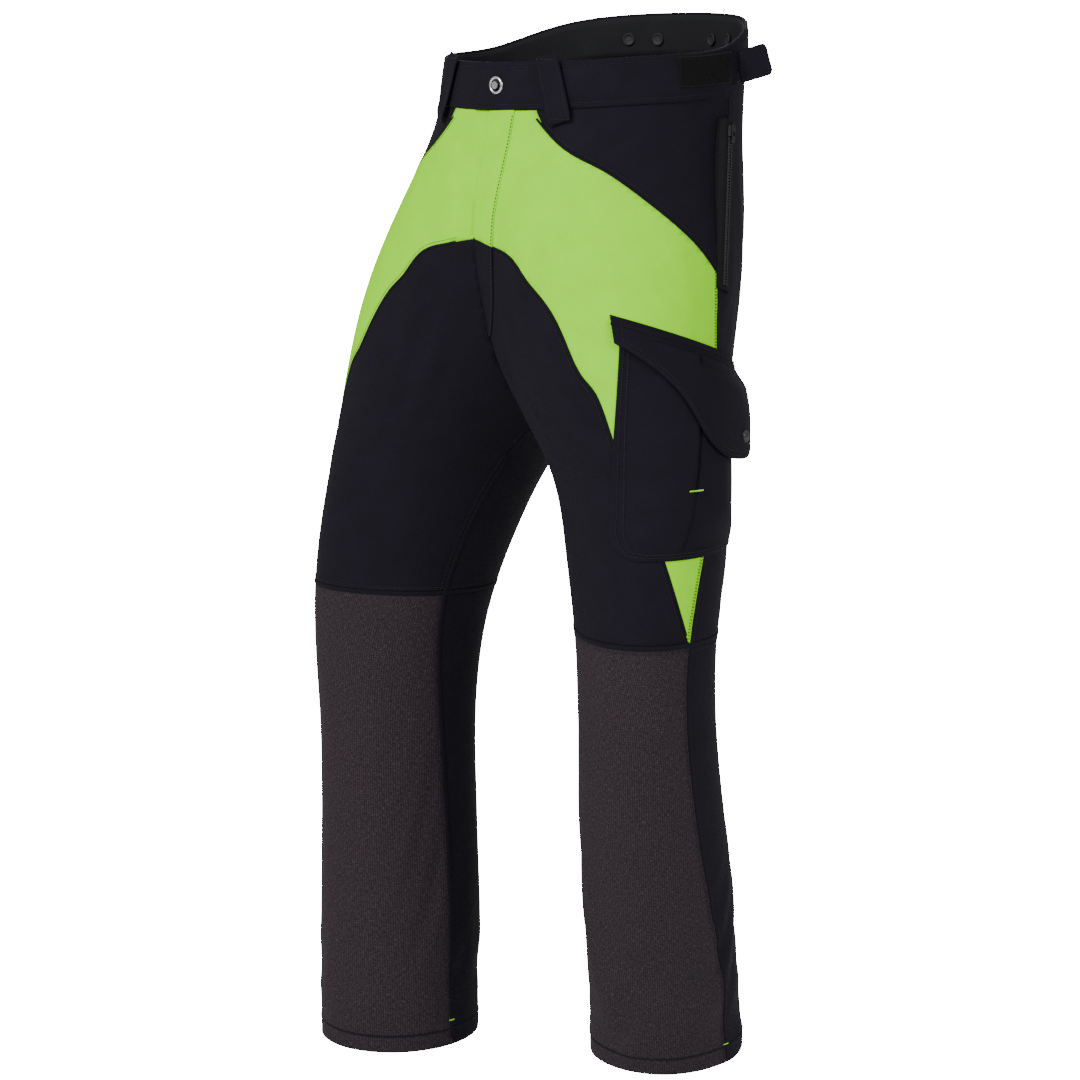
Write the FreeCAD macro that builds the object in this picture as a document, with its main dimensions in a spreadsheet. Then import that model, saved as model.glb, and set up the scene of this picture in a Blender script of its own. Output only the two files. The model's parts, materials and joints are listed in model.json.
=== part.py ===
import FreeCAD, Part
import Sketcher
import math
import os

# Chainsaw protection trousers, worn pose: front faces -Y, the wearer's left is +X, up is +Z.
# The origin is the centre of the waist opening at the height of the band's side edge.

doc = FreeCAD.newDocument("protection_trousers")
sheet = doc.addObject("Spreadsheet::Sheet", "Sizes")
SIDES = {"left": 1.0, "right": -1.0}

# Each level of a leg tube: height, sideways and forward place of its centre, long and short
# radius, and how far its long axis turns outwards from the sideways direction.
SHARED_LEVELS = [
    ("above", 60, 0, 2, 172, 148, 0),
    ("waist", -50, 0, -2, 176, 152, 5),
    ("hip", -160, 17, -17, 190, 158, 25),
    ("seat", -260, 58, -36, 188, 140, 35),
    ("crotch", -340, 97, -60, 163, 121, 40),
]
LEG_LEVELS = {
    "left": [
        ("thigh", -420, 148, -78, 131, 97, 43),
        ("midthigh", -520, 179, -98, 113, 84, 48),
        ("knee", -620, 195, -116, 96, 74, 50),
        ("shin", -780, 184, -98, 88, 77, 48),
        ("calf", -940, 160, -56, 90, 82, 45),
        ("hem", -1105, 138, -20, 90, 84, 45),
    ],
    "right": [
        ("thigh", -420, 142, -81, 131, 98, 43),
        ("midthigh", -520, 176, -100, 112, 88, 46),
        ("knee", -620, 193, -116, 99, 81, 46),
        ("shin", -780, 190, -126, 88, 80, 45),
        ("calf", -940, 180, -134, 90, 82, 45),
        ("hem", -1135, 176, -138, 91, 85, 45),
    ],
}

SIZES = {
    "cloth_thickness": 2.0,
    "pad_thickness": 5.0,
    "lining_thickness": 1.5,
    "band_height": 50.0,
    "band_thickness": 4.0,
    "loop_gap": 2.3,
    "loop_thickness": 1.2,
    "loop_width": 26.0,
    "placket_width": 36.0,
    "pocket_depth": 12.0,
    "pocket_wall": 2.0,
    "flap_thickness": 2.0,
    "flap_clearance": 1.8,
    "hem_fold": 25.0,
    "hem_allowance": 10.0,
    "button_radius": 9.5,
    "button_thickness": 2.6,
    "tack_radius": 2.0,
    "tack_head_radius": 5.0,
    "brace_radius": 7.0,
    "brace_thickness": 2.5,
    "tab_length": 36.0,
    "tab_width": 34.0,
    "tab_thickness": 2.4,
    "patch_thickness": 1.0,
    "snap_radius": 6.0,
    "snap_cap_height": 2.2,
    "tooth_size": 1.6,
    "tooth_pitch": 3.2,
    "zip_gap": 1.2,
    "slider_length": 11.0,
    "slider_width": 9.0,
    "slider_height": 3.6,
    "pull_length": 20.0,
    "pull_width": 5.0,
    "pull_thickness": 1.2,
    "bar_tack_thickness": 0.8,
}


def fill_sheet():
    rows = list(SIZES.items())
    for side in SIDES:
        for level in SHARED_LEVELS + LEG_LEVELS[side]:
            name = side + "_" + level[0]
            fields = ("height", "across", "forward", "long", "short", "turn")
            rows.extend((name + "_" + field, value) for field, value in zip(fields, level[1:]))
    for row, (alias, value) in enumerate(rows, start=1):
        sheet.set("A%d" % row, alias)
        sheet.set("B%d" % row, str(value))
        sheet.setAlias("B%d" % row, alias)
    doc.recompute()


fill_sheet()


def size(alias):
    return float(sheet.get(alias))


# ---- leg tubes at a given distance inside (plus) or outside (minus) the cloth's outer face ----

RING_POINTS = 16
tubes = {}
halves = {}


def ring_points(side, level, inset):
    """Points around one level's ellipse, from the inner end of its long axis."""
    alias = side + "_" + level
    turn = math.radians(size(alias + "_turn"))
    long_radius = size(alias + "_long") - inset
    short_radius = size(alias + "_short") - inset
    points = []
    for index in range(RING_POINTS):
        around = 2 * math.pi * index / RING_POINTS + math.pi
        along = long_radius * math.cos(around)
        aside = short_radius * math.sin(around)
        x = size(alias + "_across") + along * math.cos(turn) + aside * math.sin(turn)
        y = size(alias + "_forward") - along * math.sin(turn) + aside * math.cos(turn)
        points.append(FreeCAD.Vector(SIDES[side] * x, y, size(alias + "_height")))
    return points


def tube_solid(side, inset):
    """A smooth closed tube through every level of one leg, with flat ends."""
    levels = [level[0] for level in SHARED_LEVELS + LEG_LEVELS[side]]
    around = [float(index) for index in range(RING_POINTS + 1)]
    rings = []
    for level in levels:
        ring = Part.BSplineCurve()
        ring.interpolate(Points=ring_points(side, level, inset), PeriodicFlag=True, Parameters=around)
        rings.append(ring)
    top = size(side + "_" + levels[0] + "_height")
    down = [top - size(side + "_" + level + "_height") for level in levels]
    columns = []
    for poles in zip(*(ring.getPoles() for ring in rings)):
        column = Part.BSplineCurve()
        column.interpolate(Points=list(poles), Parameters=down)
        columns.append(column)
    surface = Part.BSplineSurface()
    surface.buildFromPolesMultsKnots(
        [column.getPoles() for column in columns], rings[0].getMultiplicities(),
        columns[0].getMultiplicities(), rings[0].getKnots(), columns[0].getKnots(),
        True, False, rings[0].Degree, columns[0].Degree)
    ends = [Part.Face(Part.Wire([surface.vIso(value).toShape()])) for value in (down[0], down[-1])]
    skin = Part.makeShell([surface.toShape()] + ends)
    skin.sewShape()
    solid = Part.makeSolid(skin)
    if solid.Volume < 0:
        solid.reverse()
    return solid


def tube(side, inset):
    key = (side, inset)
    if key not in tubes:
        feature = doc.addObject("Part::Feature", "tube_" + side)
        feature.Shape = tube_solid(side, inset)
        tubes[key] = feature
    return tubes[key]


def half(side, inset):
    """The tube cut off at the middle plane, so that left and right meet face to face."""
    key = (side, inset)
    if key not in halves:
        block = doc.addObject("Part::Box", "half_" + side)
        block.Length = 500
        block.Width = 800
        block.Height = 1400
        start = 0 if side == "left" else -500
        block.Placement.Base = FreeCAD.Vector(start, -400, -1250)
        halves[key] = common("half_tube", tube(side, inset), block)
    return halves[key]


def common(name, first, second):
    feature = doc.addObject("Part::Common", name)
    feature.Base = first
    feature.Tool = second
    return feature


def cut(name, base, tool):
    feature = doc.addObject("Part::Cut", name)
    feature.Base = base
    feature.Tool = tool
    return feature


def fuse(name, first, second):
    feature = doc.addObject("Part::Fuse", name)
    feature.Base = first
    feature.Tool = second
    return feature


def layer(side, outside, inside):
    return cut("layer_" + side, half(side, outside), tube(side, inside))


# ---- knives: outlines drawn on an upright plane that faces a given azimuth ----
# Azimuth 0 faces the front and 90 faces the wearer's own side; a right knife is the mirror image.

def plane_point(side, azimuth, along, height, depth):
    angle = math.radians(azimuth)
    x = along * math.cos(angle) + depth * math.sin(angle)
    y = along * math.sin(angle) - depth * math.cos(angle)
    return FreeCAD.Vector(SIDES[side] * x, y, height)


def knife(name, side, azimuth, runs, near=-500.0, far=500.0):
    """A prism from runs of (along, height) points: each run of three or more is a smooth curve."""
    edges = []
    corners = [[plane_point(side, azimuth, a, h, near) for a, h in run] for run in runs]
    for index, points in enumerate(corners):
        if len(points) > 2:
            curve = Part.BSplineCurve()
            curve.interpolate(points)
            edges.append(curve.toShape())
        elif len(points) == 2:
            edges.append(Part.makeLine(points[0], points[1]))
        following = corners[(index + 1) % len(corners)][0]
        if points[-1].distanceToPoint(following) > 1e-6:
            edges.append(Part.makeLine(points[-1], following))
    face = Part.Face(Part.Wire(edges))
    reach = plane_point(side, azimuth, 0, 0, far) - plane_point(side, azimuth, 0, 0, near)
    solid = face.extrude(reach)
    feature = doc.addObject("Part::Feature", name)
    feature.Shape = solid
    return feature


def slab(name, low, high):
    block = doc.addObject("Part::Box", name)
    block.Length = 1000
    block.Width = 1000
    block.Height = high - low
    block.Placement.Base = FreeCAD.Vector(-500, -500, low)
    return block


# Side view: the seam that parts front from back, from above the waist down past the hem.
SIDE_SEAM = {
    "left": [(30, 80), (30, 0), (22, -90), (-38, -225), (-52, -310), (-105, -480), (-138, -600),
             (-126, -720), (-78, -870), (-40, -980), (-10, -1130)],
    "right": [(30, 80), (30, 0), (22, -90), (-38, -225), (-52, -310), (-105, -480), (-132, -600),
              (-134, -720), (-134, -870), (-134, -980), (-136, -1160)],
}
# Side view: the waistband's top edge, low in front and raised over the back.
WAIST_TOP = [(-260, -14), (-150, -8), (-60, 0), (20, 8), (90, 32), (150, 44), (260, 48)]
# Side view: the hem, longer over the instep than at the heel.
HEM_FRONT = {"left": -1095, "right": -1120}
HEM_BACK = {"left": -1075, "right": -1105}
# Three-quarter view: the bright panel runs from the fly down around the thigh to the side seam.
LIME_TOP = [(-60, -66), (-39, -89), (6, -115), (47, -142), (88, -175), (112, -200), (136, -236)]
LIME_LOW = [(97, -588), (71, -503), (19, -384), (4, -343), (-14, -320), (-35, -276), (-54, -247),
            (-71, -228), (-84, -210), (-102, -200), (-125, -192)]
KNEE_LINE = -592.0


def front_knife(side):
    seam = SIDE_SEAM[side]
    bottom = seam[-1][1]
    top = seam[0][1]
    # straight stretches cut more reliably here than one long curve
    stretches = [[start, end] for start, end in zip(seam, seam[1:])]
    return knife("front_zone", side, 90, stretches + [[(-450, bottom), (-450, top)]])


def above_waist_knife(drop):
    curve = [(y, z - drop) for y, z in WAIST_TOP]
    return knife("above_waist", "left", 90, [curve, [(260, 200), (-260, 200)]])


def below_hem_knife(side):
    front = (-300, HEM_FRONT[side])
    back = (120, HEM_BACK[side])
    return knife("below_hem", side, 90, [[front, back], [(120, -1300), (-300, -1300)]])


def lime_knife(side):
    start = [(-140, -192), (-140, 40)]
    middle = [(-60, 40), (-60, -66)]
    outer = [(260, -240), (260, -588)]
    return knife("lime_zone", side, 45, [start, middle, LIME_TOP, outer, LIME_LOW])


def above_lime_knife(side):
    outline = [[(-100, 80), (-100, -80)], [(-60, -90), (20, -145)], [(104, -216), (128, -252)],
               [(260, -252), (260, 80)]]
    return knife("above_lime", side, 45, outline)


# ---- panels ----

parts = []


def keep(label, feature, placement=None):
    feature.Label = label
    if placement is not None:
        feature.Placement = placement
    parts.append(feature)
    return feature


def cloth_panels(side):
    cloth = size("cloth_thickness")
    shell = layer(side, 0.0, cloth)
    shell = cut("trimmed", shell, above_waist_knife(size("band_height")))
    shell = cut("trimmed", shell, below_hem_knife(side))
    zone = front_knife(side)
    front = common("front", shell, zone)
    back = cut("back", shell, zone)
    below_knee = slab("below_knee", -1300, KNEE_LINE)
    upper = cut("upper", front, below_knee)
    lime_zone = lime_knife(side)
    rest = cut("rest", upper, lime_zone)
    above = above_lime_knife(side)
    keep("lime_panel_" + side, common("lime", upper, lime_zone))
    keep("hip_panel_" + side, common("hip", rest, above))
    keep("thigh_panel_" + side, cut("thigh", rest, above))
    keep("knee_panel_" + side, common("knee", front, below_knee))
    keep("seat_panel_" + side, cut("seat", back, below_knee))
    keep("calf_panel_" + side, common("calf", back, below_knee))


def inner_layers(side):
    cloth = size("cloth_thickness")
    pad_inside = cloth + size("pad_thickness")
    lining_inside = pad_inside + size("lining_thickness")
    hem = HEM_BACK[side] + size("hem_allowance")
    fold_top = hem + size("hem_fold")
    pad_zone = common("pad_zone", front_knife(side), slab("pad_span", fold_top + 5, -240))
    keep("cut_pad_" + side, common("pad", layer(side, cloth, pad_inside), pad_zone))
    lining = common("lining", layer(side, pad_inside, lining_inside),
                    slab("lining_span", fold_top, -80))
    keep("leg_lining_" + side, lining)
    fold = common("fold", layer(side, cloth, cloth + 1.5), slab("fold_span", hem, fold_top))
    keep("hem_tape_" + side, fold)


def waistband():
    outside = size("cloth_thickness") - size("band_thickness")
    inside = size("cloth_thickness")
    above = above_waist_knife(0.0)
    below = above_waist_knife(size("band_height"))
    back_zone = knife("band_back_zone", "left", 90, [[(52, -120), (52, 120)], [(260, 120), (260, -120)]])
    backs = []
    linings = []
    for side in SIDES:
        ring = cut("band", layer(side, outside, inside), above)
        ring = common("band", ring, below)
        keep_front = cut("band_front", ring, back_zone)
        if side == "left":
            keep_front = cut("band_front", keep_front, button_hole())
        keep("waistband_" + side, keep_front)
        backs.append(common("band_back", ring, back_zone))
        facing = cut("facing", layer(side, inside, inside + 1.5), above)
        linings.append(common("facing", facing, below))
    keep("waistband_back", fuse("band_backs", backs[0], backs[1]))
    keep("waistband_lining", fuse("facings", linings[0], linings[1]))


# ---- places on the cloth ----

def touch(side, azimuth, height, inset, centre=(0.0, 0.0)):
    """Where a level ray from centre at this azimuth leaves the tube, with its outward direction."""
    doc.recompute()
    angle = math.radians(azimuth)
    outward = FreeCAD.Vector(SIDES[side] * math.sin(angle), -math.cos(angle), 0)
    start = FreeCAD.Vector(SIDES[side] * centre[0], centre[1], height)
    ray = Part.makeLine(start, start + outward * 400)
    inside = tube(side, inset).Shape.common(ray)
    far = max(inside.Vertexes, key=lambda vertex: vertex.Point.distanceToPoint(start))
    return far.Point, outward


def facing_out(point, outward, lean=0.0):
    """A placement whose own Z is outward and whose own Y is up, leant back by an angle."""
    sideways = FreeCAD.Vector(0, 0, 1).cross(outward)
    up = FreeCAD.Vector(0, 0, 1)
    turn = FreeCAD.Rotation(sideways, up, outward, "ZYX")
    tilt = FreeCAD.Rotation(sideways, lean)
    return FreeCAD.Placement(point, tilt.multiply(turn))


# ---- sketched bodies ----

def add_body(label):
    body = doc.addObject("PartDesign::Body", label)
    body.Label = label
    return body


def origin_plane(body, role):
    return next(item for item in body.Origin.OriginFeatures if item.Role == role)


def add_sketch(body, role):
    sketch = body.newObject("Sketcher::SketchObject", "outline")
    sketch.AttachmentSupport = [(origin_plane(body, role), "")]
    sketch.MapMode = "FlatFace"
    return sketch


def circle_sketch(body, radius, centre=(0.0, 0.0)):
    sketch = add_sketch(body, "XY_Plane")
    index = sketch.addGeometry(Part.Circle(FreeCAD.Vector(centre[0], centre[1], 0),
                                           FreeCAD.Vector(0, 0, 1), 1.0))
    constraint = sketch.addConstraint(Sketcher.Constraint("Radius", index, 1.0))
    sketch.setExpression("Constraints[%d]" % constraint, radius)
    return sketch


def outline_sketch(body, points, role="XY_Plane"):
    sketch = add_sketch(body, role)
    vectors = [FreeCAD.Vector(x, y, 0) for x, y in points]
    for start, end in zip(vectors, vectors[1:] + vectors[:1]):
        sketch.addGeometry(Part.LineSegment(start, end))
    return sketch


def pad(body, sketch, length, centred=False):
    feature = body.newObject("PartDesign::Pad", "thickness")
    feature.Profile = sketch
    feature.Midplane = centred
    feature.Length = 1.0
    feature.setExpression("Length", length)
    body.Tip = feature
    return feature


def pocket(body, sketch):
    feature = body.newObject("PartDesign::Pocket", "hole")
    feature.Profile = sketch
    feature.Type = "ThroughAll"
    feature.Midplane = True
    body.Tip = feature
    return feature


def disc(label, radius, thickness, hole=None):
    body = add_body(label)
    pad(body, circle_sketch(body, radius), thickness)
    if hole is not None:
        pocket(body, circle_sketch(body, hole))
    return body


# ---- waist button on its tack ----

BUTTON_AZIMUTH = 4.0
BUTTON_HEIGHT = -32.0
BUTTON_GAP = 1.6
TACK_DEPTH = 3.2
TACK_STAND = 0.4


def button_place(lift):
    outside = size("cloth_thickness") - size("band_thickness")
    point, outward = touch("left", BUTTON_AZIMUTH, BUTTON_HEIGHT, outside)
    return facing_out(point + outward * lift, outward)


def button_hole():
    hole = doc.addObject("Part::Cylinder", "button_hole")
    hole.setExpression("Radius", "Sizes.tack_radius + 0.3")
    hole.Height = 40
    place = button_place(-20.0)
    hole.Placement = place
    return hole


def waist_button():
    button = add_body("waist_button")
    pad(button, circle_sketch(button, "Sizes.button_radius"), "Sizes.button_thickness")
    pocket(button, circle_sketch(button, "Sizes.tack_radius + 0.3"))
    keep("waist_button", button, button_place(BUTTON_GAP))
    length = size("band_thickness") + size("button_thickness") + TACK_DEPTH + BUTTON_GAP + TACK_STAND
    shank = doc.addObject("Part::Cylinder", "tack_shank")
    shank.setExpression("Radius", "Sizes.tack_radius")
    shank.Height = length
    head = doc.addObject("Part::Cylinder", "tack_head")
    head.setExpression("Radius", "Sizes.tack_head_radius - 1")
    head.Height = 1.0
    head.Placement.Base = FreeCAD.Vector(0, 0, length)
    tack = fuse("tack", shank, head)
    keep("waist_tack", tack, button_place(-size("band_thickness") - TACK_DEPTH))


# ---- belt loops and brace buttons ----

def strap_knife(side, azimuth, low, high, width):
    half_width = width / 2
    outline = [[(-half_width, low), (half_width, low)], [(half_width, high), (-half_width, high)]]
    return knife("strap_zone", side, azimuth, outline, near=60.0, far=400.0)


def belt_loop(side, azimuth, drop):
    outside = size("cloth_thickness") - size("band_thickness")
    bridge = outside - size("loop_gap")
    crown = bridge - size("loop_thickness")
    width = size("loop_width") if azimuth < 60 else size("loop_width") - 8
    top = -6.0 + drop
    low = -66.0 + drop
    strap = common("loop", layer(side, crown, bridge), strap_knife(side, azimuth, low, top, width))
    ends = layer(side, bridge, outside)
    top_end = common("loop", ends, strap_knife(side, azimuth, top - 7, top, width))
    low_end = common("loop", ends, strap_knife(side, azimuth, low, low + 7, width))
    return fuse("loop", fuse("loop", strap, top_end), low_end)


def belt_loops():
    loops = doc.addObject("Part::Compound", "belt_loops")
    links = []
    for side in SIDES:
        links.append(belt_loop(side, 30.0, 6.0))
        links.append(belt_loop(side, 140.0, 36.0))
    loops.Links = links
    keep("belt_loops", loops)


def brace_buttons():
    inside = size("cloth_thickness") + 1.5
    group = doc.addObject("Part::Compound", "brace_buttons")
    links = []
    for side in SIDES:
        for azimuth in (150.0, 164.0):
            button = doc.addObject("Part::Cylinder", "brace_button")
            button.setExpression("Radius", "Sizes.brace_radius")
            button.setExpression("Height", "Sizes.brace_thickness")
            point, outward = touch(side, azimuth, 14.0, inside)
            button.Placement = facing_out(point - outward * (size("brace_thickness") + 1.6), outward)
            links.append(button)
    group.Links = links
    keep("brace_buttons", group)


# ---- fly ----

def fly_placket():
    cover = layer("left", -size("cloth_thickness"), 0.0)
    width = size("placket_width")
    outline = [[(0, -20), (width, -20)], [(width, -20), (width, -210)],
               [(width, -210), (width - 4, -255), (width - 18, -283), (0, -296)], [(0, -296), (0, -20)]]
    zone = knife("placket_zone", "left", 0, outline, near=60.0, far=400.0)
    cover = common("placket", cover, zone)
    cover = cut("placket", cover, above_waist_knife(size("band_height") + 1.0))
    keep("fly_placket", cover)


def fly_shield():
    """A flat backing behind the zip, sloping with the front rise."""
    shield = add_body("fly_shield")
    outline = [(-26, -2), (26, -2), (26, -178), (-26, -190)]
    pad(shield, outline_sketch(shield, outline), "Sizes.lining_thickness")
    keep("fly_shield", shield, fly_place(-9.6))


def fly_place(lift):
    """Own Z points forwards out of the body and own Y up along the closed zip."""
    outward = FreeCAD.Vector(0, -1, 0)
    point = FreeCAD.Vector(0, -149.0, -66.0) + outward * lift
    return facing_out(point, outward)


# ---- zips ----

def tooth_row(direction, length):
    """One comb of teeth along own -Y, on one side of the middle gap."""
    tooth = size("tooth_size")
    pitch = size("tooth_pitch")
    gap = size("zip_gap") / 2
    spine = Part.makeBox(0.8, length, 0.8)
    spine.translate(FreeCAD.Vector(gap + tooth, -length, 0))
    pieces = []
    for index in range(int(length / pitch)):
        block = Part.makeBox(tooth + 0.2, tooth, tooth)
        block.translate(FreeCAD.Vector(gap, -(index + 1) * pitch, 0))
        pieces.append(block)
    comb = spine.multiFuse(pieces)
    if direction < 0:
        comb = comb.mirror(FreeCAD.Vector(0, 0, 0), FreeCAD.Vector(1, 0, 0))
    return comb


def zip_teeth(label, place, length):
    group = doc.addObject("Part::Feature", label)
    group.Shape = Part.makeCompound([tooth_row(1, length), tooth_row(-1, length)])
    keep(label, group, place)


def zip_slider(label, place):
    """A saddle over both rows of teeth, with a small bail for the pull."""
    width = size("slider_width")
    length = size("slider_length")
    height = size("slider_height")
    slider = add_body(label)
    inner = width / 2 - 1.1
    under = height - 1.2
    profile = [(-width / 2, 0.3), (-inner, 0.3), (-inner, under), (inner, under), (inner, 0.3),
               (width / 2, 0.3), (width / 2, height), (-width / 2, height)]
    saddle = outline_sketch(slider, profile, "XZ_Plane")
    pad(slider, saddle, "Sizes.slider_length")
    bail = outline_sketch(slider, [(-0.9, height - 0.4), (0.9, height - 0.4), (0.9, height + 1.5),
                                   (-0.9, height + 1.5)], "XZ_Plane")
    pad(slider, bail, "Sizes.slider_length * 0.55")
    return keep(label, slider, place.multiply(FreeCAD.Placement(FreeCAD.Vector(0, -length * 0.2, 0),
                                                                FreeCAD.Rotation())))


def zip_pull(label, place):
    """A flat pull that hangs from the slider's bail."""
    width = size("pull_width")
    pull = add_body(label)
    rim = [(-width / 2, 0), (width / 2, 0), (width / 2 - 0.8, -size("pull_length")),
           (-width / 2 + 0.8, -size("pull_length"))]
    pad(pull, outline_sketch(pull, rim), "Sizes.pull_thickness")
    window = [(-1.3, -1.2), (1.3, -1.2), (1.3, -12.5), (-1.3, -12.5)]
    pocket(pull, outline_sketch(pull, window))
    lift = size("slider_height") + 0.15
    shift = FreeCAD.Placement(FreeCAD.Vector(0, -size("slider_length") * 0.02, lift), FreeCAD.Rotation())
    return keep(label, pull, place.multiply(shift))


def zip_place(side, top, bottom, lift):
    """Own -Y runs from top to bottom and own Z points out of the cloth."""
    along = (top - bottom).normalize()
    angle = math.radians(97.0)
    outward = FreeCAD.Vector(SIDES[side] * math.sin(angle), -math.cos(angle), 0)
    sideways = along.cross(outward).normalize()
    outward = sideways.cross(along).normalize()
    turn = FreeCAD.Rotation(sideways, along, outward, "YZX")
    return FreeCAD.Placement(top + outward * lift, turn)


def hip_zip(side):
    """A straight zip on the side seam: its tape is the cloth built up to a flat bed."""
    top = FreeCAD.Vector(SIDES[side] * 184.0, 14.0, -74.0)
    bottom = FreeCAD.Vector(SIDES[side] * 222.0, -34.0, -236.0)
    length = top.distanceToPoint(bottom)
    bed = zip_place(side, top, bottom, 3.0)
    block = doc.addObject("Part::Box", "tape_block")
    block.Length = 22
    block.Width = length + 6
    block.Height = 16
    block.Placement = bed.multiply(FreeCAD.Placement(FreeCAD.Vector(-11, -length - 3, -16),
                                                     FreeCAD.Rotation()))
    keep("hip_zip_tape_" + side, cut("tape", block, tube(side, 0.0)))
    zip_teeth("hip_zip_teeth_" + side, bed, length)
    zip_slider("hip_zip_slider_" + side, bed)
    zip_pull("hip_zip_pull_" + side, bed)


def fly_zip():
    length = 150.0
    tape = add_body("fly_zip_tape")
    outline = [(-13, 0), (13, 0), (13, -length - 4), (-13, -length - 4)]
    pad(tape, outline_sketch(tape, outline), "0.9")
    keep("fly_zip_tape", tape, fly_place(-8.0))
    lifted = fly_place(-7.1)
    zip_teeth("fly_zip_teeth", lifted, length)
    zip_slider("fly_zip_slider", lifted)
    zip_pull("fly_zip_pull", lifted)


# ---- cargo pocket on the left thigh ----

POCKET_AZIMUTH = 75.0
POCKET_DEPTH = 190.0
BAG_LEFT = [(-109, -281), (-122, -384), (-129, -465), (-130, -496)]
BAG_RIGHT = [(34, -503), (38, -420), (45, -334)]
BAG_MOUTH_CUT = -250
FLAP_TOP_FRONT = (-112, -268)
FLAP_TOP_BACK = (50, -322)
FLAP_LOW = [(60, -405), (34, -412), (2, -407), (-30, -388), (-48, -354), (-76, -318), (-112, -286)]


def cargo_bag():
    wall = size("pocket_wall")
    depth = size("pocket_depth")
    outer = layer("left", -depth, 0.0)
    outline = [BAG_LEFT, [(-126, -503), (34, -503)], BAG_RIGHT]
    bag = common("bag", outer, knife("bag_zone", "left", POCKET_AZIMUTH, outline, near=POCKET_DEPTH))
    inner_left = [(a + wall, h) for a, h in BAG_LEFT]
    inner_left[0] = (inner_left[0][0], BAG_MOUTH_CUT)
    inner_right = [(a - wall, max(h, -503 + wall)) for a, h in BAG_RIGHT]
    inner_right.append((BAG_RIGHT[-1][0], BAG_MOUTH_CUT))
    hollow = [inner_left, [(-124, -503 + wall), inner_right[0]], inner_right]
    space = common("bag_space", tube("left", wall - depth),
                   knife("bag_space_zone", "left", POCKET_AZIMUTH, hollow, near=POCKET_DEPTH))
    keep("cargo_pocket_bag", cut("bag", bag, space))


def flap_outline():
    back_edge = [FLAP_TOP_BACK, FLAP_LOW[0]]
    return [[FLAP_TOP_FRONT, FLAP_TOP_BACK], back_edge, FLAP_LOW]


def cargo_flap():
    inside = -size("pocket_depth") - size("flap_clearance")
    outside = inside - size("flap_thickness")
    zone = knife("flap_zone", "left", POCKET_AZIMUTH, flap_outline(), near=POCKET_DEPTH)
    keep("cargo_pocket_flap", common("flap", layer("left", outside, inside), zone))
    strip = [[(-112, -265.5), (50, -319.5)], [(50, -312), (-112, -258)]]
    seam = knife("flap_seam_zone", "left", POCKET_AZIMUTH, strip, near=POCKET_DEPTH)
    keep("cargo_flap_seam", common("flap_seam", layer("left", outside, 0.0), seam))


def snap_place(lift):
    inside = -size("pocket_depth") - size("flap_clearance") - size("flap_thickness")
    point, outward = touch("left", 112.0, -391.0, inside, centre=(133.0, -75.0))
    return facing_out(point + outward * lift, outward)


def press_stud():
    cap = disc("cargo_snap_cap", "Sizes.snap_radius", "Sizes.snap_cap_height")
    keep("cargo_snap_cap", cap, snap_place(0.4))


# ---- waist adjusters ----

TAB_TURN = 24.0
TAB_RISE = 16.0
TAB_CLEARANCE = 3.2
TAB_ROOT_SLANT = 6.0


def adjuster(side):
    """A hook tab sewn behind a loop patch, standing open at the side of the band."""
    outside = size("cloth_thickness") - size("band_thickness")
    patch_layer = layer(side, outside - size("patch_thickness"), outside)
    outline = [[(-46, -35), (-20, -34)], [(26, -31), (26, 4)], [(-20, 0), (-46, -1)]]
    zone = knife("patch_zone", side, 90, outline, near=60.0)
    keep("loop_patch_" + side, common("patch", patch_layer, zone))
    tab = add_body("adjuster_tab_" + side)
    length = size("tab_length")
    width = size("tab_width")
    corners = [(0, -width / 2), (length - 4, -width / 2 + 2), (length, -width / 2 + 6),
               (length, width / 2 - 6), (length - 4, width / 2 - 2), (TAB_ROOT_SLANT, width / 2)]
    pad(tab, outline_sketch(tab, corners, "XZ_Plane"), "Sizes.tab_thickness", centred=True)
    point, outward = touch(side, 104.0, -14.0, outside)
    root = point + outward * TAB_CLEARANCE
    angle = TAB_TURN if side == "left" else 180.0 - TAB_TURN
    lean = FreeCAD.Rotation(FreeCAD.Vector(0, 1, 0), -TAB_RISE)
    turn = FreeCAD.Rotation(FreeCAD.Vector(0, 0, 1), angle)
    keep("adjuster_tab_" + side, tab, FreeCAD.Placement(root, turn.multiply(lean)))


# ---- bar tacks ----

LEG_INSIDE = 170.0

def tack_strip(side, azimuth, along, height, width, tall, outside=0.0, near=60.0):
    outline = [[(along - width / 2, height - tall / 2), (along + width / 2, height - tall / 2)],
               [(along + width / 2, height + tall / 2), (along - width / 2, height + tall / 2)]]
    zone = knife("tack_zone", side, azimuth, outline, near)
    return common("tack", layer(side, outside - size("bar_tack_thickness"), outside), zone)


def bar_tacks():
    group = doc.addObject("Part::Compound", "bar_tacks")
    pocket_face = -size("pocket_depth")
    group.Links = [
        tack_strip("left", POCKET_AZIMUTH, -54.0, -436.0, 15.0, 2.0, pocket_face),
        tack_strip("left", 90.0, -24.0, -1059.0, 8.0, 2.0),
        tack_strip("right", 270.0, 136.0, -1085.0, 8.0, 2.0, near=-LEG_INSIDE),
    ]
    keep("bar_tacks", group)


for side_name in SIDES:
    cloth_panels(side_name)
    inner_layers(side_name)
    hip_zip(side_name)
    adjuster(side_name)
waistband()
waist_button()
belt_loops()
brace_buttons()
fly_placket()
fly_shield()
fly_zip()
cargo_bag()
cargo_flap()
press_stud()
bar_tacks()

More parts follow.
